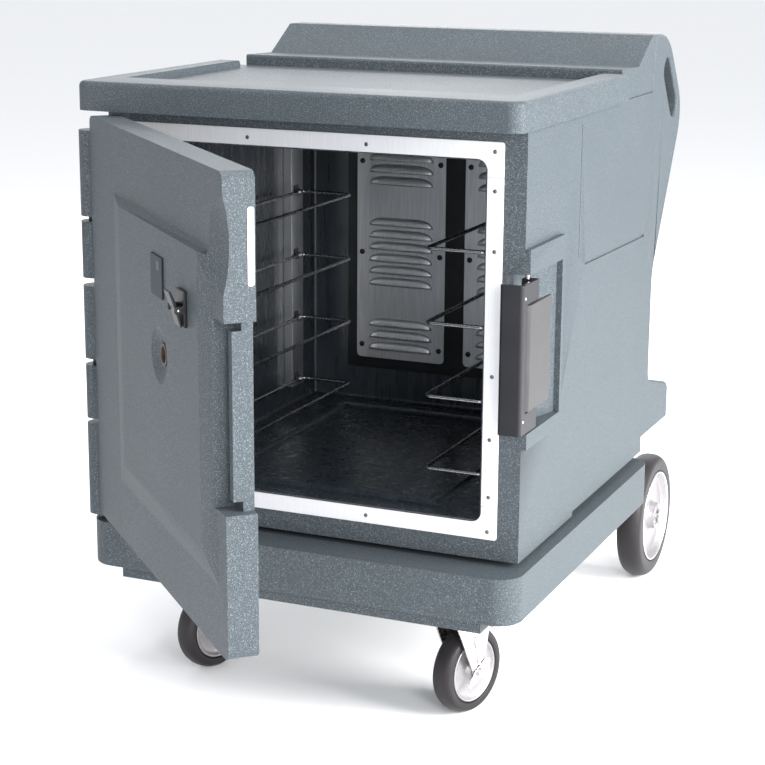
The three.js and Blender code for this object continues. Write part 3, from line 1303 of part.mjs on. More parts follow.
// A front caster: a fixed plate, and a fork with its wheel and brake, turned to where it stands.
function caster(name, x) {
  const swivel = new THREE.Group();
  swivel.position.set(x, CASTER_SWIVEL_Y, 0);
  swivel.rotation.z = THREE.MathUtils.degToRad(CASTER_TURN);
  swivel.add(mesh(`caster_fork_${name}`, casterFork(), STEEL));
  swivel.add(mesh(`caster_hub_${name}`, casterHub().translate(0, CASTER_TRAIL, CASTER_RADIUS), HUB));
  swivel.add(mesh(`caster_tyre_${name}`, casterTyre().translate(0, CASTER_TRAIL, CASTER_RADIUS), RUBBER));
  swivel.add(mesh(`caster_brake_${name}`, casterBrake(), STEEL));
  const plate = mesh(`caster_plate_${name}`, casterPlate(), STEEL);
  plate.position.set(x, CASTER_SWIVEL_Y, 0);
  return [swivel, plate];
}

const REAR_WHEEL_X = HALF_BODY - REAR_WHEEL_FACE - REAR_TREAD / 2;
const REAR_WHEEL_Y = BASE_REAR + REAR_WHEEL_BEHIND;

function rearRim() {
  const half = REAR_TREAD / 2;
  const rim = REAR_RADIUS - REAR_TYRE;
  return turned(mirrored([
    [REAR_AXLE + GAP, half + 4], [26, half + 4], [28, half - 6], [rim - 22, half - 12], [rim - 12, half - 2],
    [rim, half - 1],
  ]), 36);
}

function rearTyre() {
  const half = REAR_TREAD / 2;
  const rim = REAR_RADIUS - REAR_TYRE;
  return turned(mirrored([
    [rim + GAP, half - 2], [rim + 6, half], [REAR_RADIUS - 12, half - 1], [REAR_RADIUS - 3, half - 10],
    [REAR_RADIUS, 1],
  ]), 44);
}

// The axle runs right across, held by two plates that are bolted to the back of the base.
function rearAxleFrame() {
  const end = HALF_BODY - REAR_WHEEL_FACE + REAR_AXLE_END;
  const front = BASE_REAR + GAP;
  const [low, high] = [BASE_BOTTOM + BRACKET_MARGIN, BASE_TOP - BRACKET_MARGIN];
  const plateShape = outline([
    [front, low],
    [front, high],
    [front + 2 * BRACKET_EDGE, high],
    [REAR_WHEEL_Y + BRACKET_EDGE, REAR_RADIUS + BRACKET_EDGE / 2],
    [REAR_WHEEL_Y + BRACKET_EDGE / 2, REAR_RADIUS - BRACKET_EDGE],
    [REAR_WHEEL_Y - BRACKET_EDGE, REAR_RADIUS - BRACKET_EDGE],
  ]);
  const inner = REAR_WHEEL_X - REAR_TREAD / 2 - BRACKET_INSET;
  const brackets = SIDES.flatMap(([, sign]) => {
    const [x0, x1] = span(sign * inner, sign * (inner - BRACKET_WALL));
    const [f0, f1] = span(sign * inner, sign * (inner - FLANGE_WIDTH));
    return [sidePrism(plateShape, x0, x1), box(f0, f1, front, front + BRACKET_WALL, low, high)];
  });
  return join(bar(X, [0, REAR_WHEEL_Y, REAR_RADIUS], REAR_AXLE, -end, end, 16), ...brackets);
}

// ---------- assembly ----------

const carrier = new THREE.Group();

carrier.add(mesh('base_moulding', baseMoulding(), SHELL));
carrier.add(mesh('body_shell', bodyShell(), SHELL));
carrier.add(mesh('foam_core', foamCore(), FOAM));
carrier.add(mesh('cavity_liner', cavityLiner(), LINER));
carrier.add(mesh('worktop_lid', worktopLid(), SHELL));
carrier.add(mesh('rear_upstand', rearUpstand(), SHELL));
carrier.add(mesh('trim_top', trimEnd(true), ALUMINIUM));
carrier.add(mesh('trim_bottom', trimEnd(false), ALUMINIUM));
carrier.add(mesh('plenum_frame', plenumFrame(), BLACK));
carrier.add(mesh('fan_motor', fanMotor(), STEEL));
carrier.add(mesh('fan_impeller', fanImpeller(), STEEL));
carrier.add(mesh('heating_element', heatingElement(), WIRE));
carrier.add(mesh('control_plate', controlPlate(), BLACK));
carrier.add(mesh('thermostat_dial', thermostatDial(), BLACK));
carrier.add(mesh('power_switch', powerSwitch(), BLACK));

for (const [name, sign] of SIDES) {
  carrier.add(mesh(`trim_${name}`, trimSide(sign), ALUMINIUM));
  carrier.add(mesh(`louvre_panel_${name}`, louvrePanel(sign), STEEL));
  for (const [place, y] of Object.entries(UPRIGHT_PLACES)) {
    carrier.add(mesh(`rack_upright_${name}_${place}`, upright(sign, y), STEEL));
  }
  RACK_LEVELS.forEach((level, i) => {
    carrier.add(mesh(`rack_${name}_${i + 1}`, rack(sign, level), WIRE));
  });
  const wheelX = sign * REAR_WHEEL_X;
  carrier.add(mesh(`rear_rim_${name}`, rearRim().translate(wheelX, REAR_WHEEL_Y, REAR_RADIUS), HUB));
  carrier.add(mesh(`rear_tyre_${name}`, rearTyre().translate(wheelX, REAR_WHEEL_Y, REAR_RADIUS), RUBBER));
}

carrier.add(mesh('rear_axle_frame', rearAxleFrame(), STEEL));
carrier.add(...caster('left', BASE_LEFT + CASTER_INSET));
carrier.add(...caster('right', BASE_RIGHT - CASTER_INSET));

carrier.add(mesh('hinge_pin_upper', hingePin(BODY_KNUCKLES[0].top, DOOR_KNUCKLES[0].foot), BLACK));
carrier.add(mesh('hinge_pin_middle', hingePin(BODY_KNUCKLES[1].top, DOOR_KNUCKLES[1].foot), BLACK));
carrier.add(mesh('hinge_pin_lower', hingePin(BASE_TOP, DOOR_KNUCKLES[2].foot), BLACK));
carrier.add(door());

carrier.add(mesh('latch_arm', latchArm(), BLACK));
carrier.add(mesh('latch_paddle', latchPaddle(), BLACK));
carrier.add(mesh('latch_pin', latchAxis(LATCH_PIN, LATCH_PIN_ENTRY), STEEL));

// The part's origin is the middle of its footprint, on the floor.
const whole = new THREE.Group();
whole.add(carrier);
whole.updateMatrixWorld(true);
const bounds = new THREE.Box3().setFromObject(carrier, true);
carrier.position.set(-(bounds.min.x + bounds.max.x) / 2, -(bounds.min.y + bounds.max.y) / 2, -bounds.min.z);

export default whole;
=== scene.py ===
"""Looks of an insulated food carrier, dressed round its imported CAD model.

Every piece is in metres in the model's own frame. Sizes inside the classes are in millimetres.
"""
import logging
import math
from collections.abc import Callable, Iterable, Sequence
from dataclasses import dataclass, field
from enum import Enum
from typing import Any

import bmesh
import bpy
from mathutils import Matrix, Vector


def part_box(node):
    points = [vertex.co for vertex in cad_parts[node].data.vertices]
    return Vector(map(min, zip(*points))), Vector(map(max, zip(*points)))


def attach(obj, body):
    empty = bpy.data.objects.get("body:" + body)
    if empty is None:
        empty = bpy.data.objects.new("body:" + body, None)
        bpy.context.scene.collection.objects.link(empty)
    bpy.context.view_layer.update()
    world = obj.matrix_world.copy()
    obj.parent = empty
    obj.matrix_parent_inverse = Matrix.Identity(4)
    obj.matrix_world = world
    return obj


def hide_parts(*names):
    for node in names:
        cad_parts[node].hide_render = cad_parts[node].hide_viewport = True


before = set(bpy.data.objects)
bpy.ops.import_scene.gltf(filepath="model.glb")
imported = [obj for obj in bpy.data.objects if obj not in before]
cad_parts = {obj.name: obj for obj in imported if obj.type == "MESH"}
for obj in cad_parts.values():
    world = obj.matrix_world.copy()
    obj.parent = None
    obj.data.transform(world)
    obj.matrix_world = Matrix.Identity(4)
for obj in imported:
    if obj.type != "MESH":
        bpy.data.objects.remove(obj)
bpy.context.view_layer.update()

MM = 0.001
MERGE = 1e-5
FLAT_ANGLE = math.radians(1.0)
SHARP_ANGLE = math.radians(35.0)
FULL_TURN = 2 * math.pi

log = logging.getLogger("carrier")

Colour = tuple[float, float, float]


class Slot(Enum):
    """The record's material slots."""

    SHELL = "moulded_shell"
    FOAM = "insulating_foam"
    LINING = "cavity_lining"
    TRIM = "trim_aluminium"
    STEEL = "steel"
    WIRE = "wire"
    BLACK = "black_fittings"
    TYRE = "tyre"
    HUB = "hub"
    SEAL = "seal"


class Axis(Enum):
    """The three directions of the model's frame."""

    X = Vector((1.0, 0.0, 0.0))
    Y = Vector((0.0, 1.0, 0.0))
    Z = Vector((0.0, 0.0, 1.0))


# ---------- materials ----------


class Sock:
    """An output socket that takes part in arithmetic; each operator adds its Math node."""

    def __init__(self, graph: "Graph", out: bpy.types.NodeSocket) -> None:
        """Wraps a socket.

        Args:
            graph: the material the socket belongs to.
            out: the output socket.
        """
        self.graph = graph
        self.out = out

    def _math(self, operation: str, first: Any, second: Any) -> "Sock":
        """One Math node.

        Args:
            operation: the node's operation.
            first: its first value or socket.
            second: its second value or socket.

        Returns:
            The node's output.
        """
        return self.graph.node("ShaderNodeMath", {"operation": operation}, {0: first, 1: second})

    def __add__(self, other: Any) -> "Sock":
        """self + other."""
        return self._math("ADD", self, other)

    __radd__ = __add__

    def __sub__(self, other: Any) -> "Sock":
        """self - other."""
        return self._math("SUBTRACT", self, other)

    def __rsub__(self, other: Any) -> "Sock":
        """other - self."""
        return self._math("SUBTRACT", other, self)

    def __mul__(self, other: Any) -> "Sock":
        """self * other."""
        return self._math("MULTIPLY", self, other)

    __rmul__ = __mul__


class Graph:
    """A node material in the making."""

    def __init__(self, name: str) -> None:
        """Starts an empty material with one Principled shader.

        Args:
            name: the material's name.
        """
        self.material = bpy.data.materials.new(name)
        self.material.use_nodes = True
        self.tree = self.material.node_tree
        self.shader = self.tree.nodes["Principled BSDF"]
        self.place = self.raw("ShaderNodeTexCoord", {}, {}).outputs["Object"]

    def raw(self, kind: str, settings: dict[str, Any], inputs: dict[Any, Any]) -> bpy.types.Node:
        """Adds one node.

        Args:
            kind: the node's type.
            settings: its properties, set first.
            inputs: values or sockets for its inputs, by name or number.

        Returns:
            The node.
        """
        made = self.tree.nodes.new(kind)
        for key, value in settings.items():
            setattr(made, key, value)
        for key, value in inputs.items():
            self.feed(made.inputs[key], value)
        return made

    def node(self, kind: str, settings: dict[str, Any], inputs: dict[Any, Any], out: Any = 0) -> Sock:
        """Adds one node and gives one of its outputs, by name or number."""
        return Sock(self, self.raw(kind, settings, inputs).outputs[out])

    def feed(self, socket: bpy.types.NodeSocket, value: Any) -> None:
        """Links a socket to an input, or sets the input's own value.

        Args:
            socket: the input.
            value: a Sock, a socket, a colour or a number.
        """
        if isinstance(value, Sock):
            value = value.out
        if isinstance(value, bpy.types.NodeSocket):
            self.tree.links.new(value, socket)
        elif socket.type == "RGBA":
            socket.default_value = (*value, 1.0)
        else:
            socket.default_value = value

    def noise(self, scale: float, detail: float = 2.0, stretch: Sequence[float] = (1, 1, 1)) -> Sock:
        """A noise pattern.

        Args:
            scale: features to the metre.
            detail: octaves.
            stretch: how much finer it is along each axis.

        Returns:
            Its value, about 0.5 on average.
        """
        where = self.node("ShaderNodeMapping", {}, {"Vector": self.place, "Scale": tuple(stretch)})
        return self.node("ShaderNodeTexNoise", {}, {"Vector": where, "Scale": scale, "Detail": detail})

    def ramp(self, value: Sock, low: float, high: float) -> Sock:
        """0 below low, 1 above high and a smooth rise between them."""
        settings = {"interpolation_type": "SMOOTHSTEP"}
        return self.node("ShaderNodeMapRange", settings, {0: value, 1: low, 2: high})

    def mix(self, factor: Any, first: Any, second: Any) -> Sock:
        """A colour between two colours.

        Args:
            factor: 0 gives the first and 1 the second.
            first: a colour or a colour socket.
            second: a colour or a colour socket.

        Returns:
            The mixed colour.
        """
        made = self.raw("ShaderNodeMix", {"data_type": "RGBA"}, {})
        self.feed(made.inputs[0], factor)
        self.feed(made.inputs[6], first)
        self.feed(made.inputs[7], second)
        return Sock(self, made.outputs[2])

    def bump(self, height: Sock, distance: float, strength: float = 1.0) -> Sock:
        """A relief on the surface.

        Args:
            height: the relief's height, from 0 to 1.
            distance: the height of 1, in metres.
            strength: how strongly it shows.

        Returns:
            The normal.
        """
        inputs = {"Height": height, "Distance": distance, "Strength": strength}
        return self.node("ShaderNodeBump", {}, inputs)

    def finish(self, **sockets: Any) -> bpy.types.Material:
        """Sets the shader's sockets.

        Args:
            sockets: values or links, with underscores for the blanks in the sockets' names.

        Returns:
            The material.
        """
        for key, value in sockets.items():
            self.feed(self.shader.inputs[key.replace("_", " ")], value)
        return self.material


class Finish:
    """What every finish has: a material that is made once."""

    name: str

    def graph(self, graph: Graph) -> bpy.types.Material:
        """Fills the material's graph; each finish has its own."""
        raise NotImplementedError

    def material(self) -> bpy.types.Material:
        """The finish's material, made at the first call."""
        found = bpy.data.materials.get(self.name)
        return found or self.graph(Graph(self.name))


@dataclass(frozen=True)
class MouldedPlastic(Finish):
    """Speckled moulded plastic with a fine grain and a soft sheen."""

    name: str = "moulded_plastic"
    base: Colour = (0.066, 0.080, 0.090)
    dark: Colour = (0.034, 0.042, 0.048)
    light: Colour = (0.190, 0.216, 0.232)
    grain: float = 700.0
    fleck: float = 560.0
    cloud: float = 7.0
    relief: float = 0.00016
    roughness: float = 0.46

    def graph(self, graph: Graph) -> bpy.types.Material:
        """Dark and light flecks over a slowly changing tone.

        Args:
            graph: the material's graph.

        Returns:
            The material.
        """
        fine = graph.noise(self.grain, 3.0)
        broad = graph.noise(self.cloud, 3.0)
        specks = graph.noise(self.fleck, 1.0)
        tone = graph.mix(graph.ramp(fine, 0.30, 0.66), self.dark, self.base)
        tone = graph.mix(graph.ramp(specks, 0.52, 0.74) * 0.7, tone, self.light)
        shade = tuple(0.80 * part for part in self.base)
        tone = graph.mix(graph.ramp(broad, 0.35, 0.70) * 0.28, tone, shade)
        rough = self.roughness + 0.16 * fine - 0.08 * broad
        return graph.finish(
            Base_Color=tone,
            Roughness=rough,
            Normal=graph.bump(fine + 0.6 * specks, self.relief),
            Specular_IOR_Level=0.16,
        )


@dataclass(frozen=True)
class SmoothLining(Finish):
    """The cavity's smooth, darker lining, which mirrors its surroundings softly."""

    name: str = "smooth_lining"
    base: Colour = (0.022, 0.028, 0.035)
    # The colour of the painted reflections: the lighter upright streaks on the lining.
    painted_reflection: Colour = (0.042, 0.052, 0.062)
    roughness: float = 0.22

    def graph(self, graph: Graph) -> bpy.types.Material:
        """A satin skin with slow waves and faint lighter upright streaks, which are painted reflections and
        also raise the roughness.

        Args:
            graph: the material's graph.

        Returns:
            The material.
        """
        waves = graph.noise(9.0, 2.0)
        # Painted reflections: lighter upright streaks over the whole lining. The same streaks also raise its
        # roughness.
        reflection_streaks = graph.noise(60.0, 4.0, (1.0, 1.0, 0.12))
        tone = graph.mix(graph.ramp(reflection_streaks, 0.45, 0.75) * 0.5, self.base, self.painted_reflection)
        rough = self.roughness + 0.18 * graph.ramp(reflection_streaks, 0.35, 0.8) + 0.06 * waves
        return graph.finish(
            Base_Color=tone,
            Roughness=rough,
            Normal=graph.bump(waves, 0.0030, 0.5),
            Specular_IOR_Level=0.6,
        )


@dataclass(frozen=True)
class DrawnMetal(Finish):
    """Metal with fine lines along one direction."""

    name: str = "drawn_metal"
    base: Colour = (0.62, 0.63, 0.64)
    tint: Colour = (0.42, 0.43, 0.44)
    metallic: float = 1.0
    roughness: float = 0.26
    lines: float = 500.0
    along: tuple[float, float, float] = (1.0, 1.0, 0.02)
    cloud: float = 14.0
    relief: float = 0.00005

    def graph(self, graph: Graph) -> bpy.types.Material:
        """Streaks over a cloudy tone.

        Args:
            graph: the material's graph.

        Returns:
            The material.
        """
        streak = graph.noise(self.lines, 3.0, self.along)
        cloud = graph.noise(self.cloud, 3.0)
        tone = graph.mix(graph.ramp(streak, 0.3, 0.75) * 0.55 + 0.25 * cloud, self.tint, self.base)
        rough = self.roughness + 0.14 * streak + 0.08 * cloud
        return graph.finish(
            Base_Color=tone,
            Roughness=rough,
            Metallic=self.metallic,
            Normal=graph.bump(streak, self.relief),
        )


@dataclass(frozen=True)
class FineGrain(Finish):
    """Rubber, foam or black plastic with a fine even grain."""

    name: str = "fine_grain"
    base: Colour = (0.02, 0.02, 0.022)
    dust: Colour = (0.05, 0.05, 0.052)
    roughness: float = 0.40
    grain: float = 900.0
    relief: float = 0.00012
    cloud: float = 16.0
    specular: float = 0.5

    def graph(self, graph: Graph) -> bpy.types.Material:
        """A grain under a little dust.

        Args:
            graph: the material's graph.

        Returns:
            The material.
        """
        fine = graph.noise(self.grain, 2.0)
        cloud = graph.noise(self.cloud, 4.0)
        tone = graph.mix(graph.ramp(cloud, 0.4, 0.75) * 0.5 + 0.25 * fine, self.base, self.dust)
        return graph.finish(
            Base_Color=tone,
            Roughness=self.roughness + 0.12 * cloud + 0.08 * fine,
            Normal=graph.bump(fine, self.relief),
            Specular_IOR_Level=self.specular,
        )


@dataclass(frozen=True)
class StudioFloor(Finish):
    """The pale floor."""

    name: str = "studio_floor"
    base: Colour = (0.94, 0.94, 0.945)

    def graph(self, graph: Graph) -> bpy.types.Material:
        """A matt surface with a barely uneven tone.

        Args:
            graph: the material's graph.

        Returns:
            The material.
        """
        shade = tuple(0.985 * part for part in self.base)
        tone = graph.mix(graph.noise(0.8, 2.0), self.base, shade)
        return graph.finish(Base_Color=tone, Roughness=0.9)


SHELL = MouldedPlastic()
LINING = SmoothLining()
FOAM = FineGrain("closed_cell_foam", (0.78, 0.70, 0.40), (0.85, 0.78, 0.50), 0.9, 260.0, 0.0006)
BLACK_NYLON = FineGrain("black_nylon", (0.006, 0.006, 0.007), (0.014, 0.014, 0.016), 0.26, 900.0, 0.00006,
                        16.0, 0.35)
LATCH_COAT = FineGrain("latch_coating", (0.010, 0.010, 0.012), (0.018, 0.018, 0.021), 0.30, 1500.0, 0.00003,
                       16.0, 0.28)
PADDLE_COAT = FineGrain("paddle_coating", (0.034, 0.032, 0.034), (0.050, 0.048, 0.050), 0.34, 1500.0, 0.00003,
                        16.0, 0.35)
TYRE = FineGrain("tyre_rubber", (0.014, 0.012, 0.013), (0.026, 0.023, 0.025), 0.36, 700.0, 0.00012,
                 16.0, 0.28)
SEAL = FineGrain("seal_rubber", (0.018, 0.018, 0.019), (0.040, 0.040, 0.042), 0.60)
VENT_RUBBER = FineGrain("vent_rubber", (0.050, 0.030, 0.028), (0.075, 0.050, 0.046), 0.42)
GAUGE_GLASS = FineGrain("gauge_face", (0.012, 0.018, 0.026), (0.020, 0.028, 0.038), 0.42, 1800.0, 0.00001,
                        16.0, 0.25)
GAUGE_WINDOW = FineGrain("gauge_window", (0.035, 0.048, 0.060), (0.048, 0.062, 0.076), 0.35, 1800.0,
                         0.00001, 16.0, 0.25)
PILOT = FineGrain("pilot_lens", (0.55, 0.03, 0.02), (0.65, 0.06, 0.04), 0.15, 400.0, 0.00002)
LEGEND = FineGrain("dial_marks", (0.75, 0.75, 0.74), (0.60, 0.60, 0.60), 0.45)
TRIM = DrawnMetal("satin_aluminium", (0.76, 0.76, 0.78), (0.66, 0.66, 0.68), 0.45, 0.36, 700.0,
                  (1.0, 1.0, 0.05))
SHEET = DrawnMetal("stainless_sheet", (0.78, 0.79, 0.81), (0.52, 0.53, 0.55), 0.85, 0.30, 620.0)
BRIGHT = DrawnMetal("bright_channel", (0.80, 0.81, 0.83), (0.62, 0.63, 0.65), 1.0, 0.20, 800.0)
ZINC = DrawnMetal("zinc_plate", (0.78, 0.77, 0.77), (0.55, 0.54, 0.54), 1.0, 0.16, 160.0, (1, 1, 1), 40.0,
                  0.0001)
WIRE = DrawnMetal("plated_wire", (0.42, 0.42, 0.43), (0.20, 0.20, 0.21), 1.0, 0.16, 300.0, (1, 1, 1))
HUB = DrawnMetal("hub_disc", (0.40, 0.38, 0.39), (0.28, 0.27, 0.28), 0.65, 0.30, 260.0, (1, 1, 1), 18.0)
RIM_EDGE = DrawnMetal("rim_edge", (0.85, 0.85, 0.86), (0.75, 0.75, 0.76), 1.0, 0.14, 300.0, (1, 1, 1))
DARK_STEEL = DrawnMetal("dark_steel", (0.20, 0.20, 0.21), (0.10, 0.10, 0.11), 1.0, 0.30, 300.0, (1, 1, 1))


# ---------- shapes ----------


class Shape:
    """A mesh in the making, in metres in the model's frame."""

    def __init__(self) -> None:
        """Starts empty."""
        self.bm = bmesh.new()

    @classmethod
    def of_node(cls, node: str) -> "Shape":
        """A merged copy of a CAD node, with its flat faces whole again.

        Args:
            node: the node's name.

        Returns:
            The copy.
        """
        shape = cls()
        shape.bm.from_mesh(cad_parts[node].data)
        bmesh.ops.remove_doubles(shape.bm, verts=shape.bm.verts, dist=MERGE)
        bmesh.ops.dissolve_limit(
            shape.bm, angle_limit=FLAT_ANGLE, verts=shape.bm.verts, edges=shape.bm.edges
        )
        bmesh.ops.connect_verts_concave(shape.bm, faces=shape.bm.faces)
        return shape

    def block(self, low: Vector, high: Vector) -> list[bmesh.types.BMVert]:
        """A box between two corners.

        Args:
            low: its lowest corner.
            high: its highest corner.

        Returns:
            Its vertices.
        """
        size = high - low
        matrix = Matrix.Translation((low + high) / 2) @ Matrix.Diagonal((*size, 1.0))
        return bmesh.ops.create_cube(self.bm, size=1.0, matrix=matrix)["verts"]

    def drum(self, centre: Vector, axis: Vector, radius: float, length: float, sides: int = 24,
             tip: float | None = None) -> list[bmesh.types.BMVert]:
        """A cylinder or a cone about an axis.

        Args:
            centre: its middle.
            axis: its direction.
            radius: its radius at its foot.
            length: its length.
            sides: how many sides it has.
            tip: its radius at its tip, if that differs.

        Returns:
            Its vertices.
        """
        turn = axis.to_track_quat("Z", "Y").to_matrix().to_4x4()
        return bmesh.ops.create_cone(
            self.bm, cap_ends=True, segments=sides, radius1=radius, depth=length,
            radius2=radius if tip is None else tip, matrix=Matrix.Translation(centre) @ turn,
        )["verts"]

    def ball(self, centre: Vector, size: Vector, detail: int = 16) -> list[bmesh.types.BMVert]:
        """An ellipsoid.

        Args:
            centre: its middle.
            size: its three half sizes.
            detail: how many sides it has round its middle.

        Returns:
            Its vertices.
        """
        matrix = Matrix.Translation(centre) @ Matrix.Diagonal((*size, 1.0))
        return bmesh.ops.create_uvsphere(
            self.bm, u_segments=detail, v_segments=detail // 2, radius=1.0, matrix=matrix
        )["verts"]

    def turned(self, profile: Sequence[tuple[float, float]], centre: Vector, axis: Vector,
               sides: int = 64) -> None:
        """A closed section spun once round an axis.

        Args:
            profile: pairs of radius and distance along the axis, in millimetres, in order round the section.
            centre: the axis's middle.
            axis: the axis.
            sides: how many steps the turn has.
        """
        along = axis.normalized()
        out = along.orthogonal().normalized()
        ring = [self.bm.verts.new(centre + out * r * MM + along * a * MM) for r, a in profile]
        edges = [self.bm.edges.new((a, b)) for a, b in zip(ring, ring[1:] + ring[:1])]
        bmesh.ops.spin(
            self.bm, geom=ring + edges, cent=centre, axis=along, angle=FULL_TURN, steps=sides,
            use_merge=True, use_duplicate=False, dvec=Vector(),
        )
        self.clean()

    def prism(self, outline: Sequence[Vector], push: Vector) -> list[bmesh.types.BMVert]:
        """A flat outline pushed out into a solid.

        Args:
            outline: the outline's corners.
            push: how far and which way it goes.

        Returns:
            Its vertices.
        """
        start = [self.bm.verts.new(point) for point in outline]
        face = self.bm.faces.new(start)
        made = bmesh.ops.extrude_face_region(self.bm, geom=[face], use_keep_orig=True)["geom"]
        moved = [part for part in made if isinstance(part, bmesh.types.BMVert)]
        bmesh.ops.translate(self.bm, verts=moved, vec=push)
        bmesh.ops.recalc_face_normals(self.bm, faces=self.bm.faces)
        return start + moved

    def tube(self, path: Sequence[Vector], radius: float, bend: float, sides: int = 10,
             closed: bool = False) -> None:
        """A round wire along straight runs, with a bend of one radius at each corner.

        Args:
            path: the corners in order.
            radius: the wire's radius.
            bend: the radius of its bends.
            sides: how many sides the wire has.
            closed: whether it comes back to its first corner, which is then met half way along a run.
        """
        points = list(path)
        if closed:
            start = (points[0] + points[-1]) / 2
            points = [start, *points, start]
        heading = (points[1] - points[0]).normalized()
        matrix = Matrix.Translation(points[0]) @ heading.to_track_quat("Z", "Y").to_matrix().to_4x4()
        ring = bmesh.ops.create_circle(
            self.bm, cap_ends=False, segments=sides, radius=radius, matrix=matrix
        )["verts"]
        here = points[0].copy()
        edges = list({edge for vert in ring for edge in vert.link_edges})
        first = list(edges)
        steps = 6
        for corner, after in zip(points[1:-1], points[2:]):
            before, ahead = (corner - here).normalized(), (after - corner).normalized()
            angle = before.angle(ahead)
            cut = bend * math.tan(angle / 2)
            edges = self._push(edges, corner - before * cut - here)
            here = corner - before * cut
            axis = before.cross(ahead).normalized()
            centre = here + axis.cross(before) * bend
            made = bmesh.ops.spin(
                self.bm, geom=edges + list({v for e in edges for v in e.verts}), cent=centre, axis=axis,
                angle=angle, steps=steps, use_duplicate=False, use_merge=False, dvec=Vector(),
            )["geom_last"]
            edges = [part for part in made if isinstance(part, bmesh.types.BMEdge)]
            here = corner + ahead * cut
        edges = self._push(edges, points[-1] - here)
        if not closed:
            for end in (first, edges):
                bmesh.ops.contextual_create(self.bm, geom=end)
        self.clean()

    def _push(self, edges: list, move: Vector) -> list:
        """Extrudes a ring of edges and gives the new ring."""
        made = bmesh.ops.extrude_edge_only(self.bm, edges=edges)["geom"]
        verts = [part for part in made if isinstance(part, bmesh.types.BMVert)]
        bmesh.ops.translate(self.bm, verts=verts, vec=move)
        return [part for part in made if isinstance(part, bmesh.types.BMEdge)
                and all(v in verts for v in part.verts)]

    def clean(self) -> None:
        """Merges doubles and turns the faces outwards."""
        bmesh.ops.remove_doubles(self.bm, verts=self.bm.verts, dist=MERGE / 2)
        bmesh.ops.recalc_face_normals(self.bm, faces=self.bm.faces)

    def soften(self, width: float, pick: Callable[[bmesh.types.BMEdge], bool], segments: int = 4,
               least: float = 35.0) -> None:
        """Rounds the edges that a rule picks.

        Args:
            width: the width of the round, in millimetres.
            pick: says whether an edge is rounded.
            segments: how many faces the round has.
            least: the smallest angle between the faces of an edge that is rounded, in degrees.
        """
        chosen = [
            edge for edge in self.bm.edges
            if len(edge.link_faces) == 2 and edge.calc_face_angle(0.0) > math.radians(least) and pick(edge)
        ]
        if chosen:
            bmesh.ops.bevel(
                self.bm, geom=chosen, offset=width * MM, offset_type="OFFSET", segments=segments,
                profile=0.5, affect="EDGES", material=-1, clamp_overlap=True, loop_slide=True,
            )

    def crease(self, axis: int, slack: float = 0.25) -> None:
        """Keeps the faces that look nearly along an axis flat against each other in the shading.

        Args:
            axis: the axis's number.
            slack: how far a normal may stray from it.
        """
        for edge in self.bm.edges:
            if len(edge.link_faces) == 2 and edge.calc_face_angle(0.0) > FLAT_ANGLE / 4:
                if all(abs(face.normal[axis]) > 1 - slack for face in edge.link_faces):
                    edge.smooth = False

    def move(self, shift: Vector, pick: Callable[[Vector], bool]) -> None:
        """Shifts the vertices that a rule picks."""
        bmesh.ops.translate(self.bm, verts=[v for v in self.bm.verts if pick(v.co)], vec=shift)

    def rotate(self, degrees: float, centre: Vector, axis: Vector = Axis.Z.value) -> None:
        """Turns the whole shape about an axis through a point."""
        turn = Matrix.Rotation(math.radians(degrees), 3, axis)
        bmesh.ops.rotate(self.bm, verts=self.bm.verts, cent=centre, matrix=turn)

    def done(self, name: str, finish: Finish, body: str, slot: Slot, replaces: Iterable[str] = (),
             edge: float = 0.0, edge_segments: int = 2) -> bpy.types.Object:
        """Makes the shape a piece on a body.

        Args:
            name: the piece's name.
            finish: its finish.
            body: the body it rides on.
            slot: not used.
            replaces: the CAD nodes it stands for.
            edge: the width of the round on its remaining sharp edges, in millimetres.
            edge_segments: how many faces that round has.

        Returns:
            The object.
        """
        mesh = bpy.data.meshes.new(name)
        self.bm.to_mesh(mesh)
        self.bm.free()
        piece = bpy.data.objects.new(name, mesh)
        bpy.context.scene.collection.objects.link(piece)
        mesh.materials.append(finish.material())
        mesh.shade_smooth()
        if edge:
            bevel = piece.modifiers.new("edge_round", "BEVEL")
            bevel.width = edge * MM
            bevel.segments = edge_segments
            bevel.limit_method = "ANGLE"
            bevel.angle_limit = SHARP_ANGLE
            bevel.use_clamp_overlap = True
            bevel.mark_sharp = False
            bevel.miter_outer = "MITER_ARC"
        even = piece.modifiers.new("even_normals", "WEIGHTED_NORMAL")
        even.keep_sharp = True
        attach(piece, body)
        nodes = list(replaces)
        if nodes:
            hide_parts(*nodes)
        log.info("%s: %d faces on %s", name, len(mesh.polygons), body)
        return piece


def dress(node: str, finish: Finish, body: str, slot: Slot, edge: float = 0.6) -> bpy.types.Object:
    """A CAD node's own shape with softened edges and its finish.

    Args:
        node: the CAD node.
        finish: its finish.
        body: the body it rides on.
        slot: the record's slot.
        edge: the width of the round on its sharp edges, in millimetres.

    Returns:
        The piece.
    """
    return Shape.of_node(node).done(f"{node}_piece", finish, body, slot, [node], edge)


def paint(node: str, finish: Finish) -> None:
    """Gives a CAD node, which stays as it is, its finish."""
    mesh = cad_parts[node].data
    mesh.materials.clear()
    mesh.materials.append(finish.material())


def rivet(shape: Shape, place: Vector, out: Vector, radius: float, rise: float) -> None:
    """Adds a domed fastener head.

    Args:
        shape: the shape it joins.
        place: the middle of its foot.
        out: the direction it points.
        radius: its radius, in millimetres.
        rise: its height, in millimetres.
    """
    profile = [(0.01, -0.6), (radius, -0.6), (radius, 0.25 * rise), (0.86 * radius, 0.62 * rise),
               (0.55 * radius, 0.90 * rise), (0.01, rise)]
    shape.turned(profile, place, out, 14)


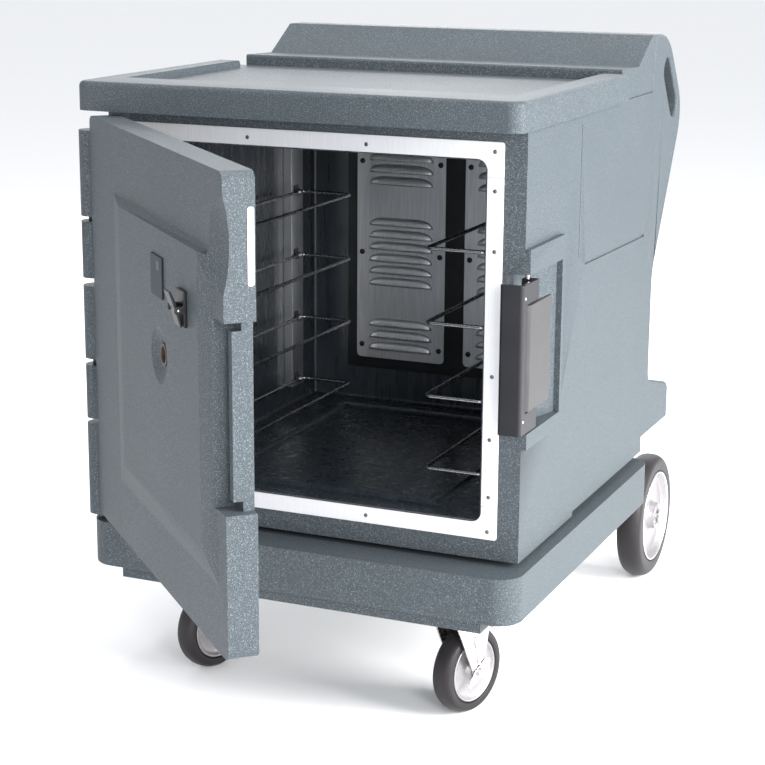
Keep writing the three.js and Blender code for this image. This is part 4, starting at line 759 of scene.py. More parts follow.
def circle(across: float, along_axis: float, radius: float, sides: int) -> list[tuple[float, float]]:
    """A round section for a ring, as pairs of radius and distance along the axis.

    Args:
        across: the ring's own radius, in millimetres.
        along_axis: its place along the axis.
        radius: the section's radius.
        sides: how many corners the section has.

    Returns:
        The section's corners in order.
    """
    angles = (i * FULL_TURN / sides for i in range(sides))
    return [(across + radius * math.cos(a), along_axis + radius * math.sin(a)) for a in angles]


CENTRE_X = (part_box("trim_top")[0].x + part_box("trim_top")[1].x) / 2
FACE_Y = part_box("trim_top")[1].y
SIDES = (("left", -1), ("right", 1))


def at(x: float, y: float, z: float) -> Vector:
    """A point from the cabinet's middle, its front face and the floor, in millimetres."""
    return Vector((CENTRE_X + x * MM, FACE_Y + (y + 0.3) * MM, z * MM))


def along(edge: bmesh.types.BMEdge) -> Vector:
    """The direction of an edge, with positive parts."""
    step = (edge.verts[1].co - edge.verts[0].co).normalized()
    return Vector(map(abs, step))


def convex(edge: bmesh.types.BMEdge) -> bool:
    """Whether an edge stands out rather than in."""
    return edge.is_convex


def flush(value: float, plane: float, slack: float = 0.0004) -> bool:
    """Whether two places are the same, within a slack."""
    return abs(value - plane) < slack


def edge_in(edge: bmesh.types.BMEdge, axis: int, plane: float) -> bool:
    """Whether an edge lies in a plane across an axis."""
    return all(flush(vert.co[axis], plane) for vert in edge.verts)


# ---------- sub-assemblies ----------


@dataclass
class Cabinet:
    """The moulded cabinet, its foam and its lining."""

    corner: float = 9.0
    handle_round: float = 7.0
    small_round: float = 1.6
    cavity_corner: float = 16.0
    least_cavity_edge: float = 0.3
    skin: float = 5.3

    def shell(self) -> None:
        """The outer moulding with rounded corners."""
        shape = Shape.of_node("body_shell")
        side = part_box("trim_top")[1].x - CENTRE_X
        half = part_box("foam_core")[1].x - CENTRE_X + self.skin * MM
        front = FACE_Y + 0.0003
        planes = (CENTRE_X - half, CENTRE_X + half)

        def long_corner(edge: bmesh.types.BMEdge) -> bool:
            """Whether an edge is one of the long front corners."""
            upright = along(edge).z > 0.99 and edge_in(edge, 1, front) and edge.calc_length() > 0.15
            return convex(edge) and upright and abs(edge.verts[0].co.x - CENTRE_X) > side

        shape.soften(self.corner, long_corner, 5)

        def outline(edge: bmesh.types.BMEdge) -> bool:
            """Whether an edge runs round the handle or the bumper."""
            rear = min(vert.co.y for vert in edge.verts) > front + 0.69
            return convex(edge) and rear and any(edge_in(edge, 0, plane) for plane in planes)

        shape.soften(self.handle_round, outline, 4)
        shape.bm.normal_update()
        shape.crease(0)
        shape.done("cabinet_moulding", SHELL, "cabinet", Slot.SHELL, ["body_shell"], self.small_round, 3)

    def lining(self) -> None:
        """The cavity with its rounded inner corners."""
        shape = Shape.of_node("cavity_liner")
        front = min(v.co.y for v in shape.bm.verts)

        def inner(edge: bmesh.types.BMEdge) -> bool:
            """Whether an edge is an inner corner of the cavity."""
            return (not convex(edge) and edge.calc_length() > self.least_cavity_edge
                    and max(v.co.y for v in edge.verts) > front + 0.2)

        shape.soften(self.cavity_corner, inner, 5)
        shape.done("cavity_lining_piece", LINING, "cabinet", Slot.LINING, ["cavity_liner"], 1.2, 3)

    def build(self) -> None:
        """Builds and dresses the cabinet."""
        self.shell()
        self.lining()
        paint("foam_core", FOAM)


@dataclass
class Lid:
    """The recessed worktop and the upstand behind it."""

    corner: float = 9.0
    foot: float = 4.0
    deck_slope: float = 58.0
    crest: float = 7.0

    def worktop(self) -> None:
        """The lid with rounded rims and a deck that falls away softly behind its front rim."""
        shape = Shape.of_node("worktop_lid")
        low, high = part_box("worktop_lid")
        deck = high.z - 13 * MM
        step = [v for v in shape.bm.verts if flush(v.co.z, deck)]
        front = min(v.co.y for v in step)
        shape.move(Vector((0, self.deck_slope * MM, 0)), lambda p: flush(p.z, deck) and flush(p.y, front))

        def top(edge: bmesh.types.BMEdge) -> bool:
            """Whether an edge is on the outside of the rims' top."""
            outer = any(flush(v.co.y, low.y, 0.028) or flush(v.co.x, low.x, 0.028)
                        or flush(v.co.x, high.x, 0.028) for v in edge.verts)
            return convex(edge) and edge_in(edge, 2, high.z) and outer

        shape.soften(self.corner, top, 4)
        shape.soften(self.foot, lambda e: convex(e) and edge_in(e, 2, low.z)
                     and max(abs(v.co.x - CENTRE_X) for v in e.verts) > 0.37, 3)
        shape.done("lid_moulding", SHELL, "cabinet", Slot.SHELL, ["worktop_lid"], 2.2, 3)

    def upstand(self) -> None:
        """The sloped back of the lid."""
        shape = Shape.of_node("rear_upstand")
        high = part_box("rear_upstand")[1]
        shape.soften(self.crest, lambda e: convex(e) and along(e).x > 0.99 and e.calc_length() > 0.5
                     and max(v.co.z for v in e.verts) > high.z - 0.052, 4)
        shape.done("upstand_moulding", SHELL, "cabinet", Slot.SHELL, ["rear_upstand"], 3.0, 3)

    def build(self) -> None:
        """Builds and dresses the lid and the upstand."""
        self.worktop()
        self.upstand()


@dataclass
class Base:
    """The wide base moulding under the cabinet."""

    top_round: float = 15.0
    foot_round: float = 8.0

    def build(self) -> None:
        """Builds and dresses the base."""
        shape = Shape.of_node("base_moulding")
        low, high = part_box("base_moulding")
        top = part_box("body_shell")[0].z - 9 * MM
        foot = low.z + 21 * MM

        def outer(edge: bmesh.types.BMEdge, level: float) -> bool:
            """Whether an edge runs round the outside at a level."""
            on_rim = min(max(abs(v.co.x - CENTRE_X) for v in edge.verts), 1) > 0.34 or any(
                v.co.y < low.y + 0.05 or v.co.y > high.y - 0.05 for v in edge.verts)
            return convex(edge) and edge_in(edge, 2, level) and on_rim

        shape.soften(self.top_round, lambda e: outer(e, top), 5)
        shape.soften(self.foot_round, lambda e: outer(e, foot), 4)
        shape.done("base_piece", SHELL, "cabinet", Slot.SHELL, ["base_moulding"], 2.0, 3)


@dataclass
class Trim:
    """The bright frame round the opening and its rivets."""

    places: Sequence[tuple[float, float]] = (
        (-323, 981), (-111, 981), (103, 981), (323, 981), (324, 919), (325, 823), (325, 620), (323, 515),
        (323, 418), (322, 359), (105, 359), (-111, 359), (-323, 359), (-324, 418), (-325, 515), (-325, 620),
        (-325, 823), (-324, 919),
    )
    head: float = 3.4
    rise: float = 1.1

    def build(self) -> None:
        """Builds and dresses the frame."""
        for end in ("top", "bottom", "left", "right"):
            dress(f"trim_{end}", TRIM, "cabinet", Slot.TRIM, 0.7)
        heads = Shape()
        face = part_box("trim_top")[0].y
        for x, z in self.places:
            spot = at(x, 0, z)
            rivet(heads, Vector((spot.x, face, spot.z)), -Axis.Y.value, self.head, self.rise)
        heads.done("trim_rivets", DARK_STEEL, "cabinet", Slot.TRIM)


@dataclass
class Racks:
    """The wire racks and the channels that they hang in."""

    wire: float = 3.4
    bend: float = 11.0
    wire_inset: float = 1.08
    hook: float = 1.9
    hook_bend: float = 2.0
    hook_ahead: float = 6.0
    coil_wire: float = 1.6
    coil_pitch: float = 5.0
    clear: float = 4.2

    def rack(self, side: str, sign: int, number: int) -> None:
        """One rack: a bent wire ring, with hooks and the curls that hold it in the channels.

        Args:
            side: left or right.
            sign: -1 for left and 1 for right.
            number: its place from the lowest up.
        """
        node = f"rack_{side}_{number}"
        low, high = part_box(node)
        level = (low.z + high.z) / 2
        wire = self.wire * MM
        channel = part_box(f"rack_upright_{side}_rear")
        face = channel[0].x if sign > 0 else channel[1].x
        tip = high.x if sign > 0 else low.x
        inset = self.wire_inset * wire
        inboard = (low.x if sign > 0 else high.x) + sign * inset
        outboard = face - sign * self.clear * MM
        front, rear = low.y + inset, high.y - inset
        shape = Shape()
        corners = [Vector((inboard, front, level)), Vector((inboard, rear, level)),
                   Vector((outboard, rear, level)), Vector((outboard, front, level))]
        shape.tube(corners, wire, self.bend * MM, 10, closed=True)
        for place in ("front", "rear"):
            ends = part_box(f"rack_upright_{side}_{place}")
            y = (ends[0].y + ends[1].y) / 2 - self.hook_ahead * MM
            hook = [Vector((outboard, y, level)), Vector((tip, y, level))]
            shape.tube(hook, self.hook * MM, self.hook_bend * MM, 8)
            for step in (-1, 0, 1):
                ring = Vector((outboard, y + step * self.coil_pitch * MM, level))
                section = circle(self.wire + 1.8, 0, self.coil_wire, 8)
                shape.turned(section, ring, Axis.Y.value, 16)
        shape.done(f"{node}_wire", WIRE, "cabinet", Slot.WIRE, [node])

    def build(self) -> None:
        """Builds and dresses the racks and their channels."""
        for side, sign in SIDES:
            for number in range(1, 5):
                self.rack(side, sign, number)
            for place in ("front", "rear"):
                dress(f"rack_upright_{side}_{place}", BRIGHT, "cabinet", Slot.STEEL, 0.5)


@dataclass
class Louvres:
    """The slotted sheets in front of the fan heater, with what is behind them."""

    groups: Sequence[tuple[float, int]] = ((18, 3), (150, 6), (352, 3))
    pitch: float = 24.0
    length: float = 136.0
    height: float = 17.0
    bulge: float = 7.0
    squareness: float = 0.4
    corner: float = 9.0
    wall: float = 1.1
    screw: float = 5.5
    screw_rows: Sequence[float] = (26, 215, 397)

    def hood(self, shape: Shape, lip: Vector) -> None:
        """One louvre: a rounded scoop pressed out of the sheet, open along its lower lip.

        Args:
            shape: the shape it joins.
            lip: the middle of its lip, on the sheet's face.
        """
        half = self.length / 2 * MM
        size = Vector((half, self.bulge * MM, self.height * MM))
        verts = shape.ball(lip, size, detail=24)
        for vert in verts:
            across = (vert.co.x - lip.x) / half
            vert.co.x = lip.x + half * math.copysign(abs(across) ** self.squareness, across)
        geom = list(verts) + list({e for v in verts for e in v.link_edges})
        geom += list({f for v in verts for f in v.link_faces})
        for point, normal in ((lip, Axis.Y.value), (lip, -Axis.Z.value)):
            cut = bmesh.ops.bisect_plane(shape.bm, geom=geom, plane_co=point, plane_no=normal,
                                         clear_outer=True, dist=MERGE)
            geom = [part for part in cut["geom"] if part.is_valid]

    def sheet(self, side: str) -> None:
        """One sheet, its louvres and its screws.

        Args:
            side: left or right.
        """
        node = f"louvre_panel_{side}"
        low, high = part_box(node)
        middle = (low + high) / 2
        plate = Shape()
        plate.block(low, high)
        plate.soften(self.corner, lambda e: along(e).y > 0.99, 6)
        plate.done(f"{node}_sheet", SHEET, "cabinet", Slot.STEEL, [node], 0.3)
        hoods = Shape()
        for lowest, count in self.groups:
            for i in range(count):
                z = low.z + (lowest + i * self.pitch) * MM
                self.hood(hoods, Vector((middle.x, low.y, z)))
        piece = hoods.done(f"{node}_louvres", SHEET, "cabinet", Slot.STEEL)
        solid = piece.modifiers.new("wall", "SOLIDIFY")
        solid.thickness = self.wall * MM
        solid.offset = -1
        heads = Shape()
        for x in (low.x + 11 * MM, high.x - 11 * MM):
            for row in self.screw_rows:
                rivet(heads, Vector((x, low.y, low.z + row * MM)), -Axis.Y.value, self.screw, 3.4)
        heads.done(f"{node}_screws", BLACK_NYLON, "cabinet", Slot.BLACK)

    def build(self) -> None:
        """Builds and dresses the louvred sheets, their frame, the fan and the heater."""
        for side, _ in SIDES:
            self.sheet(side)
        dress("plenum_frame", BLACK_NYLON, "cabinet", Slot.BLACK, 0.8)
        dress("fan_motor", ZINC, "cabinet", Slot.STEEL, 1.5)
        dress("fan_impeller", ZINC, "fan", Slot.STEEL, 0.4)
        dress("heating_element", WIRE, "cabinet", Slot.WIRE, 0.0)


@dataclass
class Controls:
    """The rear control panel."""

    screw: float = 3.2
    inset: float = 10.0
    lamp_x: float = 74.0
    lamp: float = 6.0
    ticks: int = 9
    tick_span: float = 270.0

    def build(self) -> None:
        """Builds and dresses the panel, its dial, switch, lamp and inlet."""
        dress("control_plate", BLACK_NYLON, "cabinet", Slot.BLACK, 1.0)
        dress("thermostat_dial", BLACK_NYLON, "thermostat", Slot.BLACK, 1.2)
        dress("power_switch", BLACK_NYLON, "power_rocker", Slot.BLACK, 0.8)
        low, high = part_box("control_plate")
        dial_low, dial_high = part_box("thermostat_dial")
        dial = (dial_low + dial_high) / 2
        plate = high.y - 12 * MM
        heads = Shape()
        inset = self.inset * MM
        for x in (low.x + inset, high.x - inset):
            for z in (low.z + inset, high.z - inset):
                rivet(heads, Vector((x, plate, z)), Axis.Y.value, self.screw, 2.0)
        for x in (-7, 0, 7):
            heads.drum(Vector((CENTRE_X + (109 + x) * MM, plate + 5 * MM, dial.z + (4 if x else -5) * MM)),
                       Axis.Y.value, 1.8 * MM, 9 * MM, 12)
        heads.done("control_screws", ZINC, "cabinet", Slot.STEEL)
        marks = Shape()
        tick = Vector((0.7, 0.25, 2.6)) * MM
        for i in range(self.ticks):
            angle = math.radians(135 + i * self.tick_span / (self.ticks - 1) + 90)
            out = Vector((math.sin(angle), 0, math.cos(angle)))
            middle = Vector((dial.x, plate + 0.15 * MM, dial.z)) + out * 28 * MM
            verts = marks.block(middle - tick, middle + tick)
            bmesh.ops.rotate(marks.bm, verts=verts, cent=middle, matrix=Matrix.Rotation(angle, 3, "Y"))
        marks.done("dial_ticks", LEGEND, "cabinet", Slot.BLACK)
        pointer = Shape()
        pointer.block(Vector((dial.x - 0.8 * MM, dial_high.y - 0.1 * MM, dial.z + 6 * MM)),
                      Vector((dial.x + 0.8 * MM, dial_high.y + 0.3 * MM, dial.z + 17 * MM)))
        pointer.done("dial_pointer", LEGEND, "thermostat", Slot.BLACK, (), 0.2)
        lamp = Shape()
        rivet(lamp, Vector((CENTRE_X + self.lamp_x * MM, plate, dial.z)), Axis.Y.value, self.lamp, 4.0)
        lamp.done("pilot_lamp", PILOT, "cabinet", Slot.BLACK)


@dataclass
class Door:
    """The insulated door with its fittings, which stands open at rest."""

    open_angle: float = 44.8
    corner: float = 6.0
    hinge_corner: float = 13.0
    panel_round: float = 6.0
    face: float = 9.0
    panel_left: float = 28.0
    panel_top: float = 36.0
    dish_round: float = 1.6
    keeper_low: float = 855.0
    keeper_high: float = 963.0
    axis: Vector = field(default_factory=lambda: Vector((
        (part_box("hinge_pin_upper")[0].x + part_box("hinge_pin_upper")[1].x) / 2,
        (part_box("hinge_pin_upper")[0].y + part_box("hinge_pin_upper")[1].y) / 2, 0.0)))

    def spot(self, s: float, n: float, z: float) -> Vector:
        """A point on the shut door: along its width, outwards and up, in millimetres."""
        return self.axis + Vector((s, -n, z)) * MM

    def shut(self, node: str) -> Shape:
        """A copy of one of the door's nodes, turned to where it is when the door is shut."""
        shape = Shape.of_node(node)
        shape.rotate(self.open_angle, self.axis)
        return shape

    def hang(self, shape: Shape, name: str, finish: Finish, slot: Slot, replaces: Iterable[str] = (),
             edge: float = 0.0, body: str = "door") -> bpy.types.Object:
        """Turns a shape made on the shut door to where the door stands, and makes it a piece."""
        shape.rotate(-self.open_angle, self.axis)
        return shape.done(name, finish, body, slot, replaces, edge, 3)

    def local(self, point: Vector) -> Vector:
        """A point's place on the shut door: along its width, outwards and up, in millimetres."""
        away = (point - self.axis) / MM
        return Vector((away.x, -away.y, away.z))

    def sculpt(self, shape: Shape) -> None:
        """Gives the raised panel its uneven bevels: wide on the hinge's side and narrow at the top."""

        def on_panel(point: Vector) -> bool:
            """Whether a point is on the raised panel."""
            return flush(self.local(point).y, 21, 0.3) and self.local(point).x > 100

        shape.move(Vector((self.panel_left * MM, 0, 0)),
                   lambda p: on_panel(p) and flush(self.local(p).x, 225, 1))
        shape.move(Vector((0, 0, self.panel_top * MM)),
                   lambda p: on_panel(p) and flush(self.local(p).z, 857, 1))

    def shell(self) -> None:
        """The moulded outer shell."""
        shape = self.shut("door_shell")
        self.sculpt(shape)
        right = self.local(Vector((max(v.co.x for v in shape.bm.verts), 0, 0))).x
        top = self.local(Vector((0, 0, max(v.co.z for v in shape.bm.verts)))).z
        surround = self.face

        def places(edge: bmesh.types.BMEdge) -> tuple[Vector, Vector]:
            """Where an edge's ends are on the shut door."""
            return self.local(edge.verts[0].co), self.local(edge.verts[1].co)

        def rim(edge: bmesh.types.BMEdge) -> bool:
            """Whether an edge runs round the outer face."""
            first, second = places(edge)
            outer = min(right - min(first.x, second.x), top - min(first.z, second.z),
                        max(first.z, second.z) - 320)
            on_face = flush(first.y, surround, 0.5) and flush(second.y, surround, 0.5)
            return convex(edge) and on_face and outer < 16 and min(first.x, second.x) > 30

        def hinge_edge(edge: bmesh.types.BMEdge) -> bool:
            """Whether an edge is the face's long edge by the hinge."""
            return convex(edge) and along(edge).z > 0.99 and all(
                place.x < 28 and flush(place.y, surround, 0.5) for place in places(edge))

        def panel_edge(edge: bmesh.types.BMEdge) -> bool:
            """Whether an edge belongs to the raised panel's bevels."""
            first, second = places(edge)
            inside = all(120 < place.x < 745 and 400 < place.z < 915 for place in (first, second))
            return inside and edge.calc_length() > 0.2 and min(first.y, second.y) > surround - 1

        def dish_edge(edge: bmesh.types.BMEdge) -> bool:
            """Whether an edge is on the rim of the vent's dish."""
            return all(flush(place.y, 21, 0.3) and 430 < place.x < 535 and place.z < 760
                       for place in places(edge))

        shape.soften(self.corner, rim, 4)
        shape.soften(self.hinge_corner, hinge_edge, 5)
        shape.soften(self.panel_round, panel_edge, 4, 4.0)
        shape.soften(self.dish_round, dish_edge, 3, 8.0)
        self.hang(shape, "door_moulding", SHELL, Slot.SHELL, ["door_shell"], 1.4)

    def fittings(self) -> None:
        """The gauge, the vent, the menu clip and the keeper strip."""
        gauge = self.shut("door_gauge")
        self.hang(gauge, "gauge_face", GAUGE_GLASS, Slot.BLACK, ["door_gauge"], 1.0)
        window = Shape()
        window.block(self.spot(488, 24.4, 832), self.spot(504, 23.9, 846))
        self.hang(window, "gauge_window", GAUGE_WINDOW, Slot.BLACK, (), 0.2)
        plug = self.shut("vent_plug")
        self.hang(plug, "vent_plug_piece", VENT_RUBBER, Slot.SEAL, ["vent_plug"], 1.2)
        self.hang(self.shut("menu_clip_base"), "clip_base", BLACK_NYLON, Slot.BLACK, ["menu_clip_base"], 1.5)
        jaw = self.shut("menu_clip_jaw")
        self.hang(jaw, "clip_jaw", BLACK_NYLON, Slot.BLACK, ["menu_clip_jaw"], 1.2, "menu_clip_jaw")
        pin = Shape()
        pin.drum(self.spot(618, 34, 800), Axis.X.value, 1.6 * MM, 43 * MM, 14)
        self.hang(pin, "clip_pin", RIM_EDGE, Slot.STEEL, (), 0.4)
        strip = Shape()
        low, high = self.keeper_low, self.keeper_high
        strip.block(self.spot(770.2, -26, low), self.spot(771.9, -35.5, high))
        strip.soften(4.0, lambda e: along(e).x > 0.99, 5)
        self.hang(strip, "keeper_strip", TRIM, Slot.TRIM, (), 0.5)

    def build(self) -> None:
        """Builds and dresses the door."""
        self.shell()
        self.hang(self.shut("door_liner"), "door_lining", SHELL, Slot.LINING, ["door_liner"], 1.0)
        self.hang(self.shut("door_gasket"), "door_seal", SEAL, Slot.SEAL, ["door_gasket"], 0.8)
        self.fittings()
        paint("door_foam", FOAM)
        for level in ("upper", "middle", "lower"):
            dress(f"hinge_pin_{level}", BLACK_NYLON, "cabinet", Slot.BLACK, 0.8)


@dataclass
class Latch:
    """The long latch handle on the cabinet's corner."""

    front_round: float = 5.0

    def build(self) -> None:
        """Builds and dresses the arm, its paddle and its pin."""
        arm = Shape.of_node("latch_arm")
        low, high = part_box("latch_arm")
        arm.soften(self.front_round, lambda e: along(e).z > 0.99 and e.calc_length() > 0.2
                   and convex(e) and max(v.co.y for v in e.verts) < low.y + 0.0005, 4)
        arm.done("latch_arm_piece", LATCH_COAT, "latch", Slot.BLACK, ["latch_arm"], 0.9, 3)
        dress("latch_paddle", PADDLE_COAT, "latch", Slot.BLACK, 1.0)
        dress("latch_pin", ZINC, "cabinet", Slot.STEEL, 0.6)
        heads = Shape()
        face = high.x
        for z in (low.z + 22 * MM, high.z - 22 * MM):
            rivet(heads, Vector((face, low.y + 13 * MM, z)), Axis.X.value, 2.6, 1.0)
        for z in (low.z + 40 * MM, high.z - 40 * MM):
            heads.drum(Vector((face - 4 * MM, low.y + 27 * MM, z)), Axis.Z.value, 2.2 * MM, 12 * MM, 12)
        heads.done("latch_rivets", ZINC, "latch", Slot.STEEL, (), 0.2)


@dataclass
class Wheel:
    """The section of a wheel: a rubber tyre round a dished disc, in millimetres."""

    radius: float
    tread: float
    tyre: float
    bore: float
    dish: float
    boss: float
    boss_stand: float
    roll: float = 1.7

    def tyre_profile(self) -> list[tuple[float, float]]:
        """Half of a rounded tyre section, mirrored."""
        rim = self.radius - self.tyre + 0.3
        half = self.tread / 2
        crown = [(self.radius - (1 - math.cos(a)) * self.tyre * 0.46, half * math.sin(a) ** 0.85)
                 for a in (i * math.pi / 16 for i in range(0, 8))]
        side = [(self.radius - 0.55 * self.tyre, half), (rim + 5, half), (rim + 4, half - 1.2),
                (rim, half - 1.6)]
        near = crown + side
        return near + [(r, -a) for r, a in reversed(near) if a > 0.01]

    def disc_profile(self) -> list[tuple[float, float]]:
        """Half of a disc's section with a rolled edge, a dish and a boss, mirrored."""
        rim = self.radius - self.tyre
        half = self.tread / 2 - 1.6
        near = [(rim, half), (rim - 2.0, half + 0.6), (rim - 4.0, half), (rim - 5.5, half - 3.0),
                (rim - 9, half - self.dish * 0.75), (rim - 14, half - self.dish),
                (self.boss + 7, half - self.dish + 1.5), (self.boss + 1, half - self.dish + 3),
                (self.boss, self.tread / 2 + self.boss_stand - 1), (self.boss - 1.2, self.tread / 2
                                                                   + self.boss_stand),
                (self.bore, self.tread / 2 + self.boss_stand)]
        return near + [(r, -a) for r, a in reversed(near)]

    def ring_profile(self) -> list[tuple[float, float]]:
        """The bright rolled edge that shows between the tyre and the disc."""
        rim, half = self.radius - self.tyre, self.tread / 2 - 0.6
        return circle(rim - self.roll, half, self.roll, 10)


@dataclass
class Casters:
    """The two swivel casters."""

    turn: float = -17.6
    wheel: Wheel = field(default_factory=lambda: Wheel(76, 38, 20, 5.3, 7, 15, 2.6))
    nut: float = 9.0
    lever_tilt: float = -0.6
    lever_wall: float = 1.8

    def build(self) -> None:
        """Builds and dresses both casters."""
        for side, _ in SIDES:
            low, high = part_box(f"caster_tyre_{side}")
            centre = (low + high) / 2
            axis = Matrix.Rotation(math.radians(self.turn), 3, "Z") @ Axis.X.value
            tyre = Shape()
            tyre.turned(self.wheel.tyre_profile(), centre, axis, 72)
            tyre.done(f"caster_tyre_{side}_piece", TYRE, f"front_wheel_{side}", Slot.TYRE,
                      [f"caster_tyre_{side}"])
            disc = Shape()
            disc.turned(self.wheel.disc_profile(), centre, axis, 64)
            disc.done(f"caster_disc_{side}", HUB, f"front_wheel_{side}", Slot.HUB, [f"caster_hub_{side}"])
            dress(f"caster_fork_{side}", ZINC, f"swivel_{side}", Slot.STEEL, 1.1)
            dress(f"caster_brake_{side}", ZINC, f"brake_{side}", Slot.STEEL, 1.6)
            dress(f"caster_plate_{side}", ZINC, "cabinet", Slot.STEEL, 1.0)
            nuts = Shape()
            for way in (-1, 1):
                nuts.drum(centre + axis * way * 31.0 * MM, axis, self.nut * MM, 6 * MM, 6)
                rivet(nuts, centre + axis * way * 34.0 * MM, axis * way, 5.0, 3.4)
            nuts.done(f"caster_nuts_{side}", ZINC, f"swivel_{side}", Slot.STEEL, (), 0.8)
            self.ribs(side, centre, axis)
            self.bolts(side)

    def ribs(self, side: str, centre: Vector, axis: Vector) -> None:
        """The ridge pressed down each leg of a fork and the lever plate under the axle nuts.

        Args:
            side: left or right.
            centre: the middle of the wheel.
            axis: the axle's direction.
        """
        shape = Shape()
        ahead = axis.cross(Axis.Z.value).normalized()
        for way in (-1, 1):
            face = centre + axis * way * 27.6 * MM
            foot, head = face + Vector((0, 0, 0.014)), face + Vector((0, 0, 0.066)) + ahead * 0.012
            lean = (head - foot).normalized()
            shape.drum((foot + head) / 2, lean, 3.2 * MM, (head - foot).length, 14)
            lever = ahead * math.cos(self.lever_tilt) + Axis.Z.value * math.sin(self.lever_tilt)
            across = axis.cross(lever).normalized()
            outline = [face + axis * way * 0.8 * MM + lever * a * MM + across * b * MM
                       for a, b in ((-31, -5), (-26, -8), (8, -11), (34, -4), (36, 0), (34, 4), (8, 11),
                                    (-26, 8), (-31, 5))]
            shape.prism(outline, axis * way * self.lever_wall * MM)
        shape.done(f"caster_lever_{side}", ZINC, f"swivel_{side}", Slot.STEEL, (), 0.7)

    def bolts(self, side: str) -> None:
        """The heads that hold a caster's plate."""
        low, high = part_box(f"caster_plate_{side}")
        heads = Shape()
        for x in (low.x + 13 * MM, high.x - 13 * MM):
            for y in (low.y + 13 * MM, high.y - 13 * MM):
                heads.drum(Vector((x, y, high.z - 8.4 * MM)), Axis.Z.value, 6.4 * MM, 5 * MM, 6)
        heads.done(f"caster_bolts_{side}", ZINC, "cabinet", Slot.STEEL, (), 0.6)


@dataclass
class RearWheels:
    """The two large rear wheels on their axle."""

    wheel: Wheel = field(default_factory=lambda: Wheel(127, 50, 35, 9.8, 13, 27, 3.6))
    nut: float = 15.0

    def build(self) -> None:
        """Builds and dresses the rear wheels and the axle frame."""
        for side, sign in SIDES:
            low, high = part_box(f"rear_tyre_{side}")
            centre = (low + high) / 2
            tyre = Shape()
            tyre.turned(self.wheel.tyre_profile(), centre, Axis.X.value, 96)
            body = f"rear_wheel_{side}"
            tyre.done(f"rear_tyre_{side}_piece", TYRE, body, Slot.TYRE, [f"rear_tyre_{side}"])
            disc = Shape()
            disc.turned(self.wheel.disc_profile(), centre, Axis.X.value, 80)
            disc.done(f"rear_disc_{side}", HUB, body, Slot.HUB, [f"rear_rim_{side}"])
            ring = Shape()
            ring.turned(self.wheel.ring_profile(), centre, Axis.X.value, 96)
            ring.done(f"rear_ring_{side}", RIM_EDGE, body, Slot.HUB)
            nuts = Shape()
            for i in range(5):
                spoke = Matrix.Rotation(i * FULL_TURN / 5, 3, "X") @ Axis.Z.value
                spot = centre + spoke * 19.5 * MM + Axis.X.value * sign * 29.2 * MM
                nuts.drum(spot, Axis.X.value, 4.2 * MM, 4 * MM, 6)
            nuts.done(f"rear_nuts_{side}", ZINC, body, Slot.STEEL, (), 0.5)
            cap = Shape()
            cap.drum(centre + Axis.X.value * sign * 33.5 * MM, Axis.X.value, 12.5 * MM, 5 * MM, 6)
            cap.done(f"axle_cap_{side}", ZINC, "cabinet", Slot.STEEL, (), 1.2)
        dress("rear_axle_frame", ZINC, "cabinet", Slot.STEEL, 1.0)


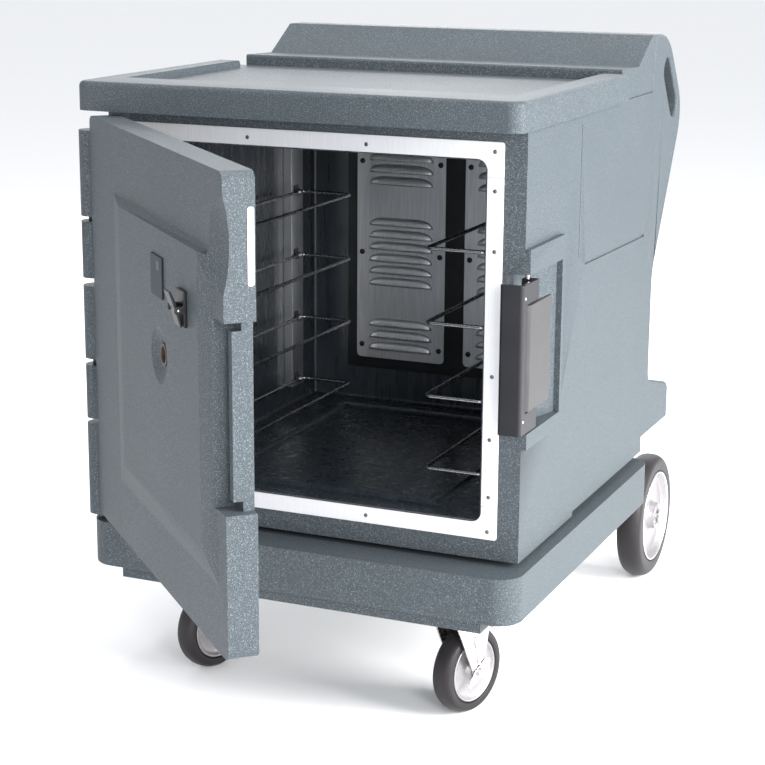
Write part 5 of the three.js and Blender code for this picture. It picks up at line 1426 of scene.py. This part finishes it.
@dataclass
class Studio:
    """The pale floor, the soft lights and the camera."""

    place: tuple[float, float, float] = (1373.6, -2863.8, 1360.1)
    heading: float = 23.42
    dip: float = 13.85
    roll: float = 0.384
    lens: float = 91.98

    def camera(self) -> None:
        """The camera at the front right."""
        data = bpy.data.cameras.new("camera")
        data.lens = self.lens
        data.clip_end = 60
        camera = bpy.data.objects.new("camera", data)
        bpy.context.scene.collection.objects.link(camera)
        camera.location = at(*self.place)
        turn = Matrix.Rotation(math.radians(self.heading), 4, "Z")
        nod = Matrix.Rotation(math.radians(90 - self.dip), 4, "X")
        tilt = Matrix.Rotation(math.radians(self.roll), 4, "Z")
        camera.rotation_euler = (turn @ nod @ tilt).to_euler()
        bpy.context.scene.camera = camera

    def light(self, name: str, place: Sequence[float], aim: Sequence[float], size: float, power: float,
              tall: float | None = None) -> None:
        """A soft rectangular light.

        Args:
            name: its name.
            place: where it hangs, in metres.
            aim: the point it faces, in metres.
            size: its width, in metres.
            power: its power in watts.
            tall: its height, in metres, if it isn't square.
        """
        data = bpy.data.lights.new(name, "AREA")
        data.shape = "RECTANGLE"
        data.size, data.size_y = size, tall or size
        data.energy = power
        lamp = bpy.data.objects.new(name, data)
        bpy.context.scene.collection.objects.link(lamp)
        lamp.location = place
        lamp.rotation_euler = (Vector(aim) - Vector(place)).to_track_quat("-Z", "Y").to_euler()

    def build(self) -> None:
        """Builds the studio."""
        floor = Shape()
        bmesh.ops.create_grid(floor.bm, x_segments=8, y_segments=8, size=30.0)
        mesh = bpy.data.meshes.new("studio_floor")
        floor.bm.to_mesh(mesh)
        floor.bm.free()
        ground = bpy.data.objects.new("studio_floor", mesh)
        bpy.context.scene.collection.objects.link(ground)
        mesh.materials.append(StudioFloor().material())
        bpy.context.scene.view_settings.view_transform = "Standard"
        world = bpy.data.worlds.new("studio")
        bpy.context.scene.world = world
        world.use_nodes = True
        sky = world.node_tree.nodes["Background"]
        sky.inputs["Color"].default_value = (0.95, 0.97, 1.0, 1.0)
        sky.inputs["Strength"].default_value = 0.95
        self.light("side_softbox", (4.2, -0.2, 1.9), (0.3, 0.2, 0.7), 2.4, 500.0)
        self.light("front_right_softbox", (2.4, -3.0, 1.7), (0.0, 0.4, 0.6), 1.2, 85.0)
        self.light("top_softbox", (0.2, 0.4, 4.0), (0.0, 0.2, 1.0), 2.0, 90.0)
        self.light("back_softbox", (-0.6, 4.6, 2.4), (0.0, 0.2, 1.0), 3.0, 50.0, 1.8)
        self.light("rear_fill", (-2.6, 4.6, 2.0), (0.0, 0.6, 0.6), 2.4, 45.0)
        self.light("low_front_fill", (0.4, -4.4, 0.8), (0.0, 0.0, 0.5), 1.6, 30.0)
        self.camera()


def main() -> None:
    """Builds the carrier's sub-assemblies in order, then the studio."""
    logging.basicConfig(level=logging.INFO, format="%(name)s: %(message)s")
    builders = (Cabinet(), Lid(), Base(), Trim(), Racks(), Louvres(), Controls(), Door(), Latch(), Casters(),
                RearWheels(), Studio())
    for builder in builders:
        log.info("building %s", type(builder).__name__)
        builder.build()


if __name__ == "__main__":
    main()
